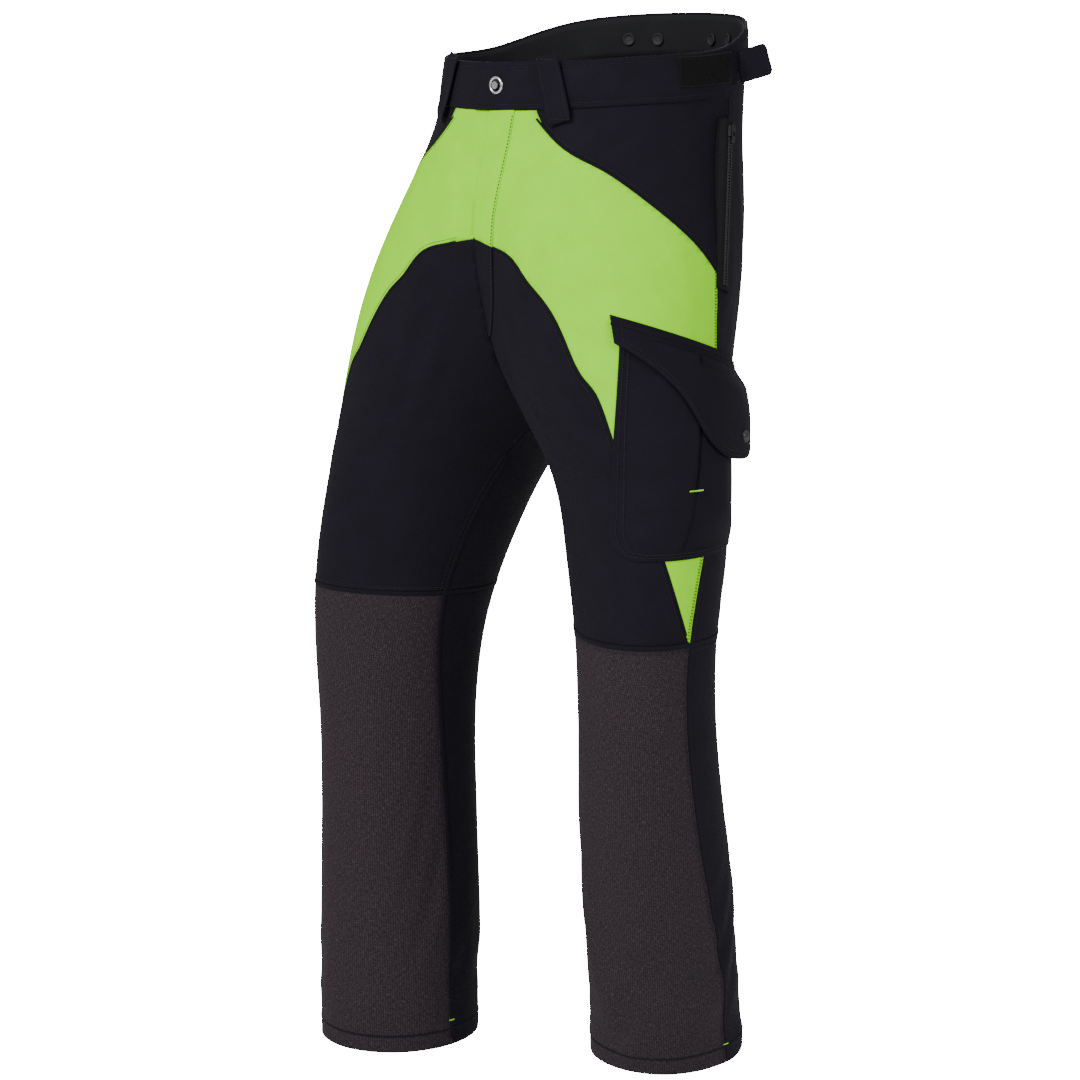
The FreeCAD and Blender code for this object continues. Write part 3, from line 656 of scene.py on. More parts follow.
def leg_panels(side):
    leg = legs[side]
    half, front = own_half(side), in_front(side)
    back = opposite(front)
    top, low = under_lime_top(side), over_lime_low(side)
    shin = opposite(above_knee)
    plans = {
        "lime_panel": ([half, front, above_knee, top, low, under_band], lime_cloth, "bright_fabric"),
        "hip_panel": ([half, front, opposite(top), under_band], dark_cloth, "dark_fabric"),
        "thigh_panel": ([half, front, above_knee, opposite(low)], dark_cloth, "dark_fabric"),
        "knee_panel": ([half, front, shin, over_hem(side)], grey_cloth, "grey_ripstop"),
        "seat_panel": ([half, back, above_knee, under_band], dark_cloth, "dark_fabric"),
        "calf_panel": ([half, back, shin, over_hem(side)], dark_cloth, "dark_fabric"),
    }
    for kind, (fields, material, slot) in plans.items():
        node_name = kind + "_" + side
        piece = panel("cloth_" + node_name, leg, fields, material, slot)
        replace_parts(piece, node_name)


for side_name in SIDES:
    leg_panels(side_name)


# ---- lining, padding and hems ----

def inner_fields(side, low, high):
    return [own_half(side), lambda p: p[:, 2] - low, lambda p: high - p[:, 2]]


def leg_inside(side):
    leg = legs[side]
    lining = panel("lining_" + side, leg, inner_fields(side, hem_height(side, 120) + 32, -82), lining_mesh,
                   "lining_mesh", lift=-7.4, thickness=1.0, row_step=12.0, columns=120)
    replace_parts(lining, "leg_lining_" + side)
    low = hem_height(side, 120) + 42
    fields = inner_fields(side, low, -244) + [in_front(side)]
    stuffing = panel("cut_padding_" + side, leg, fields, stuffing_cloth, "cut_padding", lift=-2.6,
                     thickness=3.8, row_step=12.0, columns=120)
    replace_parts(stuffing, "cut_pad_" + side)
    hem = hem_height(side, 0) + 3
    tape = panel("hem_fold_" + side, leg, [own_half(side), over_hem(side), lambda p: hem + 30 - p[:, 2]],
                 dark_cloth, "dark_fabric", lift=-2.2, thickness=1.4)
    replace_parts(tape, "hem_tape_" + side)


# ---- strips, ridges and stitches that follow the cloth ----

def path_frame(points):
    """Unit direction along a path of points."""
    along = np.gradient(points, axis=0)
    return along / np.maximum(np.linalg.norm(along, axis=1, keepdims=True), 1e-9)


def outward(leg, columns, heights):
    """The cloth's own normal, from two small steps on it."""
    beside = leg.at(columns + 0.5, heights) - leg.at(columns - 0.5, heights)
    above = leg.at(columns, heights + 2.0) - leg.at(columns, heights - 2.0)
    normal = np.cross(beside, above) * leg.sign
    return normal / np.linalg.norm(normal, axis=1, keepdims=True)


def sweep(points, normals, profile, closed=True):
    """Points and faces of a profile of (sideways, lift) carried along a path."""
    sideways = np.cross(path_frame(points), normals)
    rings = [points + sideways * s + normals * h for s, h in profile]
    vertices = np.stack(rings, 1).reshape(-1, 3)
    return vertices, grid_faces(len(points), len(profile), closed)


class Bundle:
    """Many small shapes gathered into one piece."""

    def __init__(self):
        self.points = []
        self.faces = []
        self.places = []

    def add(self, points, faces, places=None):
        start = sum(len(p) for p in self.points)
        self.points.append(np.asarray(points, float))
        self.faces.extend(tuple(i + start for i in face) for face in faces)
        self.places.append(np.asarray(points)[:, [0, 2]] if places is None else np.asarray(places, float))

    def piece(self, name, material, slot, body=ROOT):
        return make_piece(name, np.concatenate(self.points), self.faces, material, body,
                          np.concatenate(self.places))

    def solid_piece(self, *words):
        return recalculate(self.piece(*words))


dark_seams = Bundle()
dark_thread = Bundle()
lime_seams = Bundle()
lime_thread = Bundle()

THREAD_SHARE = 0.39
RIDGE = [(-0.5, -0.3), (-0.47, 0.7), (-0.25, 1.0), (0.0, 0.85), (0.25, 1.0), (0.47, 0.7), (0.5, -0.3)]


def even_steps(points, step):
    """Places 0 to 1 along a path's own list of points that are `step` apart."""
    run = np.concatenate([[0], np.cumsum(np.linalg.norm(np.diff(points, axis=0), axis=1))])
    count = max(2, int(run[-1] / step) + 1)
    return np.interp(np.linspace(0, run[-1], count), run, np.arange(len(points)))


def along_path(values, places):
    return np.interp(places, np.arange(len(values)), values)


def ridge(bundle, leg, columns, heights, width=5.0, rise=0.9, lift=0.0):
    places = even_steps(leg.at(columns, heights), 4.0)
    columns, heights = along_path(columns, places), along_path(heights, places)
    points = leg.at(columns, heights, lift)
    profile = [(s * width, h * rise) for s, h in RIDGE]
    bundle.add(*sweep(points, outward(leg, columns, heights), profile))


def stitches(bundle, leg, columns, heights, sideways=0.0, pitch=3.2, lift=0.2, radius=0.32):
    """A row of thread grains beside a path."""
    places = even_steps(leg.at(columns, heights), pitch)
    columns, heights = along_path(columns, places), along_path(heights, places)
    points = leg.at(columns, heights, lift)
    stitch_row(bundle, points, outward(leg, columns, heights), sideways, pitch, radius)


def one_stitch(bundle, middle, along, normal, half, radius=0.42, crown=1.4, waist=0.6):
    """One grain of thread, `half` long each way, with four sides."""
    side = np.cross(along, normal)
    ring = [middle + side * radius, middle + normal * radius * crown,
            middle - side * radius, middle - normal * radius]
    grain = [middle - along * half - normal * radius] + [point - along * half * waist for point in ring]
    grain += [point + along * half * waist for point in ring] + [middle + along * half - normal * radius]
    faces = [(0, 1 + (i + 1) % 4, 1 + i) for i in range(4)]
    faces += [(1 + i, 1 + (i + 1) % 4, 5 + (i + 1) % 4, 5 + i) for i in range(4)]
    faces += [(9, 5 + i, 5 + (i + 1) % 4) for i in range(4)]
    bundle.add(grain, faces)


def stitch_row(bundle, points, normals, sideways=0.0, pitch=3.2, radius=0.32):
    """A grain of thread at each point of a path, moved sideways off it."""
    along = path_frame(points)
    points = points + np.cross(along, normals) * sideways
    for point, direction, normal in zip(points, along, normals):
        one_stitch(bundle, point, direction, normal, pitch * THREAD_SHARE, radius, crown=1.3, waist=0.55)


def seam_paths(side):
    """Columns and heights of each seam of one leg."""
    leg = legs[side]
    seam = side_seam[side]
    outer = np.arange(-46.0, SEAM_END[side], -6.0)
    inner = np.arange(-392.0, SEAM_END[side], -6.0)
    top = np.arange(-60.0, 137.0, 4.0)
    low = np.arange(-113.0, 97.0, 4.0)
    rise = np.arange(-64.0, -372.0, -6.0)
    back_rise = np.arange(-10.0, -402.0, -6.0)
    paths = {
        "outer": (leg.column(90, seam(outer), outer), outer),
        "inner": (leg.column(270, -seam(inner), inner), inner),
        "lime_top": (leg.column(45, top, lime_top(top)), lime_top(top)),
        "lime_low": (leg.column(45, low, lime_low(low)), lime_low(low)),
        "front_rise": (leg.column(0, 0 * rise, rise), rise),
        "back_rise": (leg.column(180, 0 * back_rise, back_rise), back_rise),
    }
    around = np.arange(leg.column(270, [-seam(KNEE_LINE)], [KNEE_LINE])[0] - leg.COLUMNS,
                       leg.column(90, [seam(KNEE_LINE)], [KNEE_LINE])[0], 2.0)
    paths["knee"] = (around, 0 * around + KNEE_LINE)
    hem_columns = np.arange(0.0, leg.COLUMNS + 1, 3.0)
    hem = hem_height(side, leg.at(hem_columns, HEM[side][0][1])[:, 1]) + 19
    paths["hem"] = (hem_columns, hem)
    return paths


SEAM_END = {"left": -1082.0, "right": -1108.0}


def leg_seams(side):
    leg = legs[side]
    paths = seam_paths(side)
    for kind in ("outer", "inner", "knee"):
        ridge(dark_seams, leg, *paths[kind])
        stitches(dark_thread, leg, *paths[kind], sideways=4.6)
        stitches(dark_thread, leg, *paths[kind], sideways=6.6)
    ridge(dark_seams, leg, *paths["lime_top"], width=2.6, rise=0.6)
    stitches(dark_thread, leg, *paths["lime_top"], sideways=-4.2)
    ridge(dark_seams, leg, *paths["lime_low"], width=2.6, rise=0.6)
    stitches(dark_thread, leg, *paths["lime_low"], sideways=4.2)
    ridge(dark_seams, leg, *paths["back_rise"], width=4.0)
    stitches(dark_thread, leg, *paths["back_rise"], sideways=4.5 * leg.sign)
    ridge(dark_seams, leg, *paths["hem"], width=2.4, rise=0.4)
    stitches(dark_thread, leg, *paths["hem"], sideways=0.0, lift=0.5)


# ---- waistband ----

BAND_PROFILE = [(50, -1.8), (50.4, 0.4), (49.6, 2.0), (46, 2.3), (44.4, 1.7), (42.8, 2.4), (34, 2.9),
                (24, 3.0), (14, 2.8), (7.6, 2.3), (6, 1.6), (4.4, 2.2), (1.4, 2.0), (0.2, 0.8), (0.2, -1.2),
                (1.2, -1.9), (24, -1.9)]
LINING_PROFILE = [(3, -2.0), (3, -3.2), (10, -3.4), (40, -3.6), (49, -3.2), (49, -2.0)]


def band_strip(name, stations, profile, material, extra=None):
    """A band along stations of (leg, column), with the profile's (drop, lift) at each."""
    rows = []
    run = 0.0
    places = []
    last = None
    for index, (leg, column) in enumerate(stations):
        forward = leg.at(np.array([column]), 0.0)[0, 1]
        top = waist_top(forward)
        drops = np.array([drop for drop, _ in profile])
        lifts = np.array([lift for _, lift in profile])
        if extra:
            lifts = lifts + extra(index / (len(stations) - 1))
        ring = leg.at(np.full(len(drops), column), top - drops, lifts)
        if last is not None:
            run += np.linalg.norm(ring[0] - last)
        last = ring[0]
        rows.append(ring)
        places.extend((run, -drop) for drop in drops)
    points = np.concatenate(rows)
    faces = grid_faces(len(rows), len(profile), closed=True)
    size = len(profile)
    faces.append(tuple(range(size)))
    faces.append(tuple(range(len(points) - 1, len(points) - size - 1, -1)))
    piece = make_piece(name, points, faces, material, ROOT, places)
    recalculate(piece)
    return piece, run


BAND_BACK = 52.0
OVERLAP = 11.0
OVERLAP_LIFT = 2.6


def columns_between(leg, start, end, count=90):
    return [(leg, column) for column in np.linspace(start, end, count)]


def overlap_rise(share):
    """The left band rises over the right one near its free end."""
    return OVERLAP_LIFT * max(0.0, 1 - share / 0.14)


def waistband():
    left, right = legs["left"], legs["right"]
    front = left.column(0, [0.0], [-20.0])[0]
    end = left.column(0, [-OVERLAP], [-20.0])[0]
    side = left.column(90, [BAND_BACK], [0.0])[0]
    back = left.column(180, [0.0], [0.0])[0]
    around_back = columns_between(right, side, back) + columns_between(left, back, side)[1:]
    plans = [("waistband_left", columns_between(left, end, side), overlap_rise),
             ("waistband_right", columns_between(right, front + 0.6, side), None),
             ("waistband_back", around_back, None)]
    for name, stations, extra in plans:
        piece, run = band_strip("band_" + name[10:], stations, BAND_PROFILE, dark_cloth, extra)
        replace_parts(piece, name)
    stations = columns_between(right, front + 1, back, 120) + columns_between(left, back, front + 1, 120)[1:]
    piece, run = band_strip("band_lining", stations, LINING_PROFILE, lining_mesh)
    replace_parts(piece, "waistband_lining")
    for leg in (left, right):
        columns = np.linspace(end if leg is left else front, back, 200)
        forward = leg.at(columns, 0.0)[:, 1]
        for drop in (6.0, 44.4):
            stitches(dark_thread, leg, columns, waist_top(forward) - drop, lift=2.2)


# ---- belt loops ----

def belt_loop(bundle, leg, azimuth, width, top, low, slant):
    """A strap standing off the band between two sewn ends."""
    t = np.linspace(0, 1, 25)
    heights = top + (low - top) * t
    arch = 3.0 + 2.6 * np.minimum(1, np.minimum(t, 1 - t) * 9) ** 0.7
    middle = leg.column(azimuth, slant * (2 * t - 1), heights)
    points = leg.at(middle, heights, arch)
    normals = outward(leg, middle, heights)
    half = width / 2
    edge = [(-half, 0.0), (-half, 0.9), (-half + 1.0, 1.5), (-half + 3.5, 1.1)]
    profile = edge + [(0, 1.4)] + [(-across, lift) for across, lift in edge[::-1]]
    vertices, faces = sweep(points, normals, profile)
    count = len(profile)
    faces += [tuple(range(count)), tuple(range(len(vertices) - 1, len(vertices) - count - 1, -1))]
    bundle.add(vertices, faces)
    for side in (-half + 3.2, half - 3.2):
        steps = even_steps(points, 2.8)
        row = np.stack([along_path(points[:, i], steps) for i in range(3)], 1)
        up = np.stack([along_path(normals[:, i], steps) for i in range(3)], 1)
        stitch_row(dark_thread, row + up * 1.3, up, side, 2.8, 0.3)
    for place in (0.06, 0.94):
        height = top + (low - top) * place
        across = np.arange(-half + 2, half - 1.9, 0.9)
        columns = leg.column(azimuth, slant * (2 * place - 1) + across, 0 * across + height)
        stitches(dark_thread, leg, columns, 0 * across + height, pitch=1.0, lift=6.2, radius=0.6)


def belt_loops():
    bundle = Bundle()
    for side in SIDES:
        belt_loop(bundle, legs[side], 30.0, 26.0, -1.0, -70.0, 9.0)
        belt_loop(bundle, legs[side], 140.0, 18.0, 32.0, -30.0, 0.0)
    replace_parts(bundle.solid_piece("belt_loop_straps", dark_cloth, "dark_fabric"), "belt_loops")


# ---- turned and plain hardware ----

def axes_facing(out):
    out = Vector(out).normalized()
    up = Vector((0, 0, 1))
    across = up.cross(out).normalized()
    return across, out.cross(across), out


def turned(bundle, centre, out, profile, steps=48):
    """A turned shape from (radius, lift) about the outward axis."""
    across, up, out = axes_facing(out)
    points = []
    for radius, lift in profile:
        for index in range(steps):
            angle = 2 * math.pi * index / steps
            points.append(Vector(centre) + across * radius * math.cos(angle) + up * radius * math.sin(angle)
                          + out * lift)
    faces = grid_faces(len(profile), steps, closed=True)
    faces.append(tuple(range(steps))[::-1])
    faces.append(tuple(range(len(points) - steps, len(points))))
    bundle.add([p[:] for p in points], faces)


def joint(name):
    return next(item for item in frame["joints"] if item["name"] == name)


def node_centre(name):
    low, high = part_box(name)
    return (low + high) / 2 / MM


def waist_button():
    """A bright domed rim round a dark dished centre with a bar."""
    out = (math.sin(math.radians(4)), -math.cos(math.radians(4)), 0)
    centre = node_centre("waist_button") - Vector(out) * 1.2
    rim = Bundle()
    turned(rim, centre, out, [(6.4, 0.6), (6.4, 1.6), (6.8, 2.4), (7.5, 2.9), (8.3, 2.9), (9.1, 2.3),
                              (9.5, 1.4), (9.4, 0.6), (8.9, 0.1), (6.6, 0.0)])
    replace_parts(rim.solid_piece("button_rim", bright_metal, "button_metal", "button"), "waist_button")
    dish = Bundle()
    turned(dish, centre, out, [(6.2, 0.5), (6.6, 1.7), (5.6, 1.0), (4.0, 0.7), (2.0, 0.6), (0.4, 0.6)])
    dish.solid_piece("button_dish", matte_plastic, "button_metal", "button")
    across, up, outwards = axes_facing(out)
    bar = Bundle()
    for shift in (-1.4, 1.4):
        turned(bar, Vector(centre) + outwards + up * shift, across,
               [(0.3, -3.6), (0.75, -3.3), (0.85, 0.0), (0.75, 3.3), (0.3, 3.6)], 16)
    bar.solid_piece("button_bars", dark_metal, "button_metal", "button")


# ---- fly ----

PLACKET = 36.0
PLACKET_TURN = -210.0
PLACKET_END = -296.0


def inside_placket(p):
    share = np.clip((PLACKET_TURN - p[:, 2]) / (PLACKET_TURN - PLACKET_END), 0, 1)
    width = np.where(p[:, 2] > PLACKET_TURN, PLACKET, PLACKET * np.sqrt(np.maximum(0, 1 - share ** 2)))
    return width - p[:, 0]


def fly():
    leg = legs["left"]
    fields = [own_half("left"), in_front("left"), under_band, inside_placket,
              lambda p: p[:, 2] - PLACKET_END - 1]
    low = over_lime_low("left")
    for name, field, cloth, slot in (("fly_cover_lime", low, lime_cloth, "bright_fabric"),
                                     ("fly_cover_dark", opposite(low), dark_cloth, "dark_fabric")):
        piece = panel(name, leg, fields + [field], cloth, slot, lift=1.3, thickness=1.1, columns=360,
                      row_step=4.0)
        if cloth is lime_cloth:
            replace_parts(piece, "fly_placket")
    straight = np.arange(-64.0, PLACKET_TURN, -4.0)
    heights = np.concatenate([straight, np.linspace(PLACKET_TURN, PLACKET_END, 40)])
    share = np.clip((PLACKET_TURN - heights) / (PLACKET_TURN - PLACKET_END), 0, 1)
    across = (PLACKET - 1.5) * np.sqrt(np.maximum(0, 1 - share ** 2))
    stitches(dark_thread, leg, leg.column(0, across, heights), heights, pitch=3.6, lift=1.6, radius=0.55)
    edge = np.arange(-60.0, PLACKET_END, -5.0)
    for bundle, chosen in ((lime_seams, edge > -192), (dark_seams, edge <= -187)):
        along = edge[chosen]
        ridge(bundle, leg, leg.column(0, 0 * along + 0.8, along), along, width=2.4, rise=1.2, lift=0.6)


# ---- cargo pocket ----

POCKET_AZIMUTH = 75.0
FLAP_LOW = [(-112, -286), (-95, -299), (-76, -317), (-59, -338), (-46, -362), (-32, -387), (-14, -403),
            (8, -411), (36, -413), (58, -404)]
FLAP_REAR = [(50, -322), (60, -345), (67, -370), (66, -390), (58, -404)]
TACK_PLACE = (-55.0, -434.0)
TACK_BESIDE = (-61.0, -434.0)
PLEAT = [(-30, -300), (-41, -379), (-55, -433), (-70, -489), (-74, -505)]
BAG_REAR = [(46, -327), (43, -370), (38, -420), (34, -503)]
BAG_FRONT = [(-106, -275), (-122, -384), (-129, -465), (-130, -484), (-126, -498), (-116, -504)]


def curve_through(points, count):
    """Evenly spread points on a smooth curve through the given design points."""
    points = np.asarray(points, float)
    if len(points) < 3:
        return np.linspace(points[0], points[-1], count)
    run = np.concatenate([[0], np.cumsum(np.linalg.norm(np.diff(points, axis=0), axis=1))])
    return natural_spline(run, points)(np.linspace(0, run[-1], count))


def spread(top, bottom, front, rear):
    """Fills the space between four edge curves with a grid of design points."""
    v = np.linspace(0, 1, len(front))[:, None, None]
    u = np.linspace(0, 1, len(top))[None, :, None]
    between = top[None] * (1 - v) + bottom[None] * v + front[:, None] * (1 - u) + rear[:, None] * u
    corners = (1 - v) * ((1 - u) * top[0] + u * top[-1]) + v * ((1 - u) * bottom[0] + u * bottom[-1])
    return between - corners


LEG_MIDDLE = (150.0, -60.0)


def design_sheet(name, leg, azimuth, design, lifts, material, body=ROOT, thickness=1.8):
    rows, columns = design.shape[:2]
    points = leg.facing(azimuth, design[..., 0], design[..., 1], lifts).reshape(-1, 3)
    piece = make_piece(name, points, grid_faces(rows, columns), material, body, design.reshape(-1, 2))
    middle = points.mean(0) - [leg.sign * LEG_MIDDLE[0], LEG_MIDDLE[1], 0.0]
    recalculate(piece, (middle[0], middle[1], 0.0))
    return thicken(piece, thickness)


def lift_near(design, lifts, place):
    """The lift of the design point nearest to a place."""
    return lifts.reshape(-1)[np.linalg.norm(design.reshape(-1, 2) - place, axis=-1).argmin()]


def edge_distance(design, edge):
    return np.min(np.linalg.norm(design[..., None, :] - edge, axis=-1), axis=-1)


def design_path(leg, azimuth, points):
    return leg.column(azimuth, points[:, 0], points[:, 1]), points[:, 1]


def sewn_row(bundle, leg, azimuth, points, lift, pitch=3.0, radius=0.32):
    """Stitches along design points, lifted by one value or one for each point."""
    columns, heights = design_path(leg, azimuth, points)
    base = leg.at(columns, heights, lift)
    places = even_steps(base, pitch)
    row = np.stack([along_path(base[:, i], places) for i in range(3)], 1)
    normals = outward(leg, along_path(columns, places), along_path(heights, places))
    stitch_row(bundle, row, normals, 0.0, pitch, radius)


def cargo_bag():
    leg = legs["left"]
    rows, columns = 90, 110
    front, rear = curve_through(BAG_FRONT, rows), curve_through(BAG_REAR, rows)
    mouth, foot = (np.linspace(front[end], rear[end], columns) for end in (0, -1))
    design = spread(mouth, foot, front, rear)
    pleat = curve_through(PLEAT, 200)
    rim = np.concatenate([front, np.linspace(front[-1], rear[-1], 120), rear])
    away = edge_distance(design, rim)
    across = design[..., 0] - np.interp(-design[..., 1], -pleat[:, 1], pleat[:, 0])
    depth = 4.8 + 4.0 * soft_step(across, -75, -10) - 2.0 * soft_step(across, 30, 95)
    lifts = 0.9 + depth * soft_step(away, 0, 52) + 0.5 * soft_step(away, 0.5, 2.5)
    open_fold = 1.0 - 0.6 * soft_step(-design[..., 1], 425, 440)
    lifts -= 4.6 * open_fold * np.exp(-((across - 1.5) / 1.7) ** 2) * soft_step(away, 2, 14)
    lifts += 1.3 * open_fold * np.exp(-((across + 3.5) / 4.0) ** 2) * soft_step(away, 2, 14)
    lifts += 0.8 * np.sin(design[..., 1] / 21.0 + design[..., 0] / 33.0) * soft_step(away, 8, 30)
    piece = design_sheet("pocket_bag", leg, POCKET_AZIMUTH, design, np.minimum(lifts, 11.0), dark_cloth,
                         thickness=1.6)
    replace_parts(piece, "cargo_pocket_bag")
    inside = np.concatenate([curve_through([(x + 4, z) for x, z in BAG_FRONT[:5]], 60),
                             np.linspace((-112, -500), (31, -499), 60)])
    for inset in (0.0, 6.0):
        sewn_row(dark_thread, leg, POCKET_AZIMUTH, inside + [inset * 0.8, inset * 0.5], 2.2 + inset * 0.22)
    lift = lift_near(design, lifts, TACK_BESIDE) + 0.4
    bar_tack(lime_thread, leg, POCKET_AZIMUTH, TACK_PLACE, 15.0, 1.6, lift)


def bar_tack(bundle, leg, azimuth, place, width, tall, lift):
    """Close zigzag stitching that locks the end of a seam."""
    for x in np.arange(-width / 2, width / 2, 0.55):
        ends = np.array([[place[0] + x, place[1] - tall / 2], [place[0] + x + 0.4, place[1] + tall / 2]])
        columns, heights = design_path(leg, azimuth, ends)
        base = leg.at(columns, heights, lift)
        normal = outward(leg, columns, heights)
        along = base[1] - base[0]
        length = np.linalg.norm(along)
        one_stitch(bundle, base.mean(0), along / length, normal[0], length / 2)


FLAP_BODY = "cargo_flap"
FLAP_THICKNESS = 2.0
REAR_STAND = 8.0
STUD_PLACE = (24.0, -391.0)
STUD_AZIMUTH = 88.0


def cargo_flap():
    leg = legs["left"]
    rows, columns = 60, 100
    top = np.linspace((-112, -268), (50, -322), columns)
    low = curve_through(FLAP_LOW, columns)
    front = np.linspace(top[0], low[0], rows)
    rear = curve_through(FLAP_REAR, rows)
    design = spread(top, low, front, rear)
    drop = edge_distance(design, top)
    rim = np.concatenate([low, front, rear])
    away = edge_distance(design, rim)
    lifts = 4.5 + 10.0 * soft_step(drop, 0, 30) * (0.45 + 0.55 * soft_step(design[..., 0], -110, -50))
    lifts += REAR_STAND * soft_step(design[..., 0], 0, 58) * soft_step(drop, 10, 60)
    lifts += 0.5 * soft_step(away, 1, 4) - 0.5 * np.exp(-((away - 5.5) / 1.2) ** 2)
    lifts -= 0.6 * np.exp(-((drop - 6.0) / 1.2) ** 2)
    piece = design_sheet("pocket_flap", leg, POCKET_AZIMUTH, design, lifts, dark_cloth, None,
                         FLAP_THICKNESS)
    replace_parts(piece, "cargo_pocket_flap")
    threads = Bundle()
    for inset in (3.6, 8.0):
        row = np.concatenate([front[8:] + [inset, 0], curve_through(FLAP_LOW, 120)[4:-3] + [0, inset],
                              rear[::-1][4:-8] - [inset, 0]])
        near = np.linalg.norm(design.reshape(-1, 2)[None] - row[:, None], axis=-1).argmin(1)
        sewn_row(threads, leg, POCKET_AZIMUTH, row, lifts.reshape(-1)[near] + 0.1)
    stitched = threads.piece("flap_stitching", dark_thread_look, "dark_fabric", None)
    ridge(dark_seams, leg, *design_path(leg, POCKET_AZIMUTH, top + [0, 1.5]), width=5.0, rise=1.6, lift=2.6)
    sewn_row(dark_thread, leg, POCKET_AZIMUTH, top + [0, 4.5], 1.0)
    strip = np.stack([top + [0, 9.0], top + [0, 4.0], top + [0, -1.5]])
    strip_lifts = np.array([0.8, 1.6, 4.2])[:, None] + 0 * top[None, :, 0]
    seam = design_sheet("flap_seam_strip", leg, POCKET_AZIMUTH, strip, strip_lifts, dark_cloth)
    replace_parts(seam, "cargo_flap_seam")
    out = np.array([math.sin(math.radians(STUD_AZIMUTH)), -math.cos(math.radians(STUD_AZIMUTH)), 0])
    stud = Bundle()
    lift = lift_near(design, lifts, STUD_PLACE)
    centre = leg.facing(POCKET_AZIMUTH, *np.array(STUD_PLACE, float)[:, None], lift + 0.2)[0]
    turned(stud, centre, out, [(6.0, -0.6), (6.2, 0.4), (5.9, 1.3), (5.2, 1.7), (4.6, 1.2), (4.2, 1.1),
                               (3.4, 1.7), (2.0, 2.0), (0.4, 2.1)])
    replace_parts(stud.solid_piece("snap_cap", dark_plastic, "dark_plastic", FLAP_BODY), "cargo_snap_cap")
    hinge = joint("cargo_flap_hinge")
    axis, place = Vector(hinge["axis"]), Vector(hinge["pos_m"])
    down = axis.cross(Vector((out[0], out[1], 0.0)))
    down = (down if down.z < 0 else -down).normalized()
    for sewn in (piece, stitched):
        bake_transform(sewn, ROOT, FLAP_BODY, place - down * 0.002, place + down * 0.022)


# ---- waist adjusters ----

TAB_TURN = 24.0
TAB_RISE = 16.0
TAB_LENGTH, TAB_WIDTH = 36.0, 34.0
TAB_ROOT_SLANT = 6.0


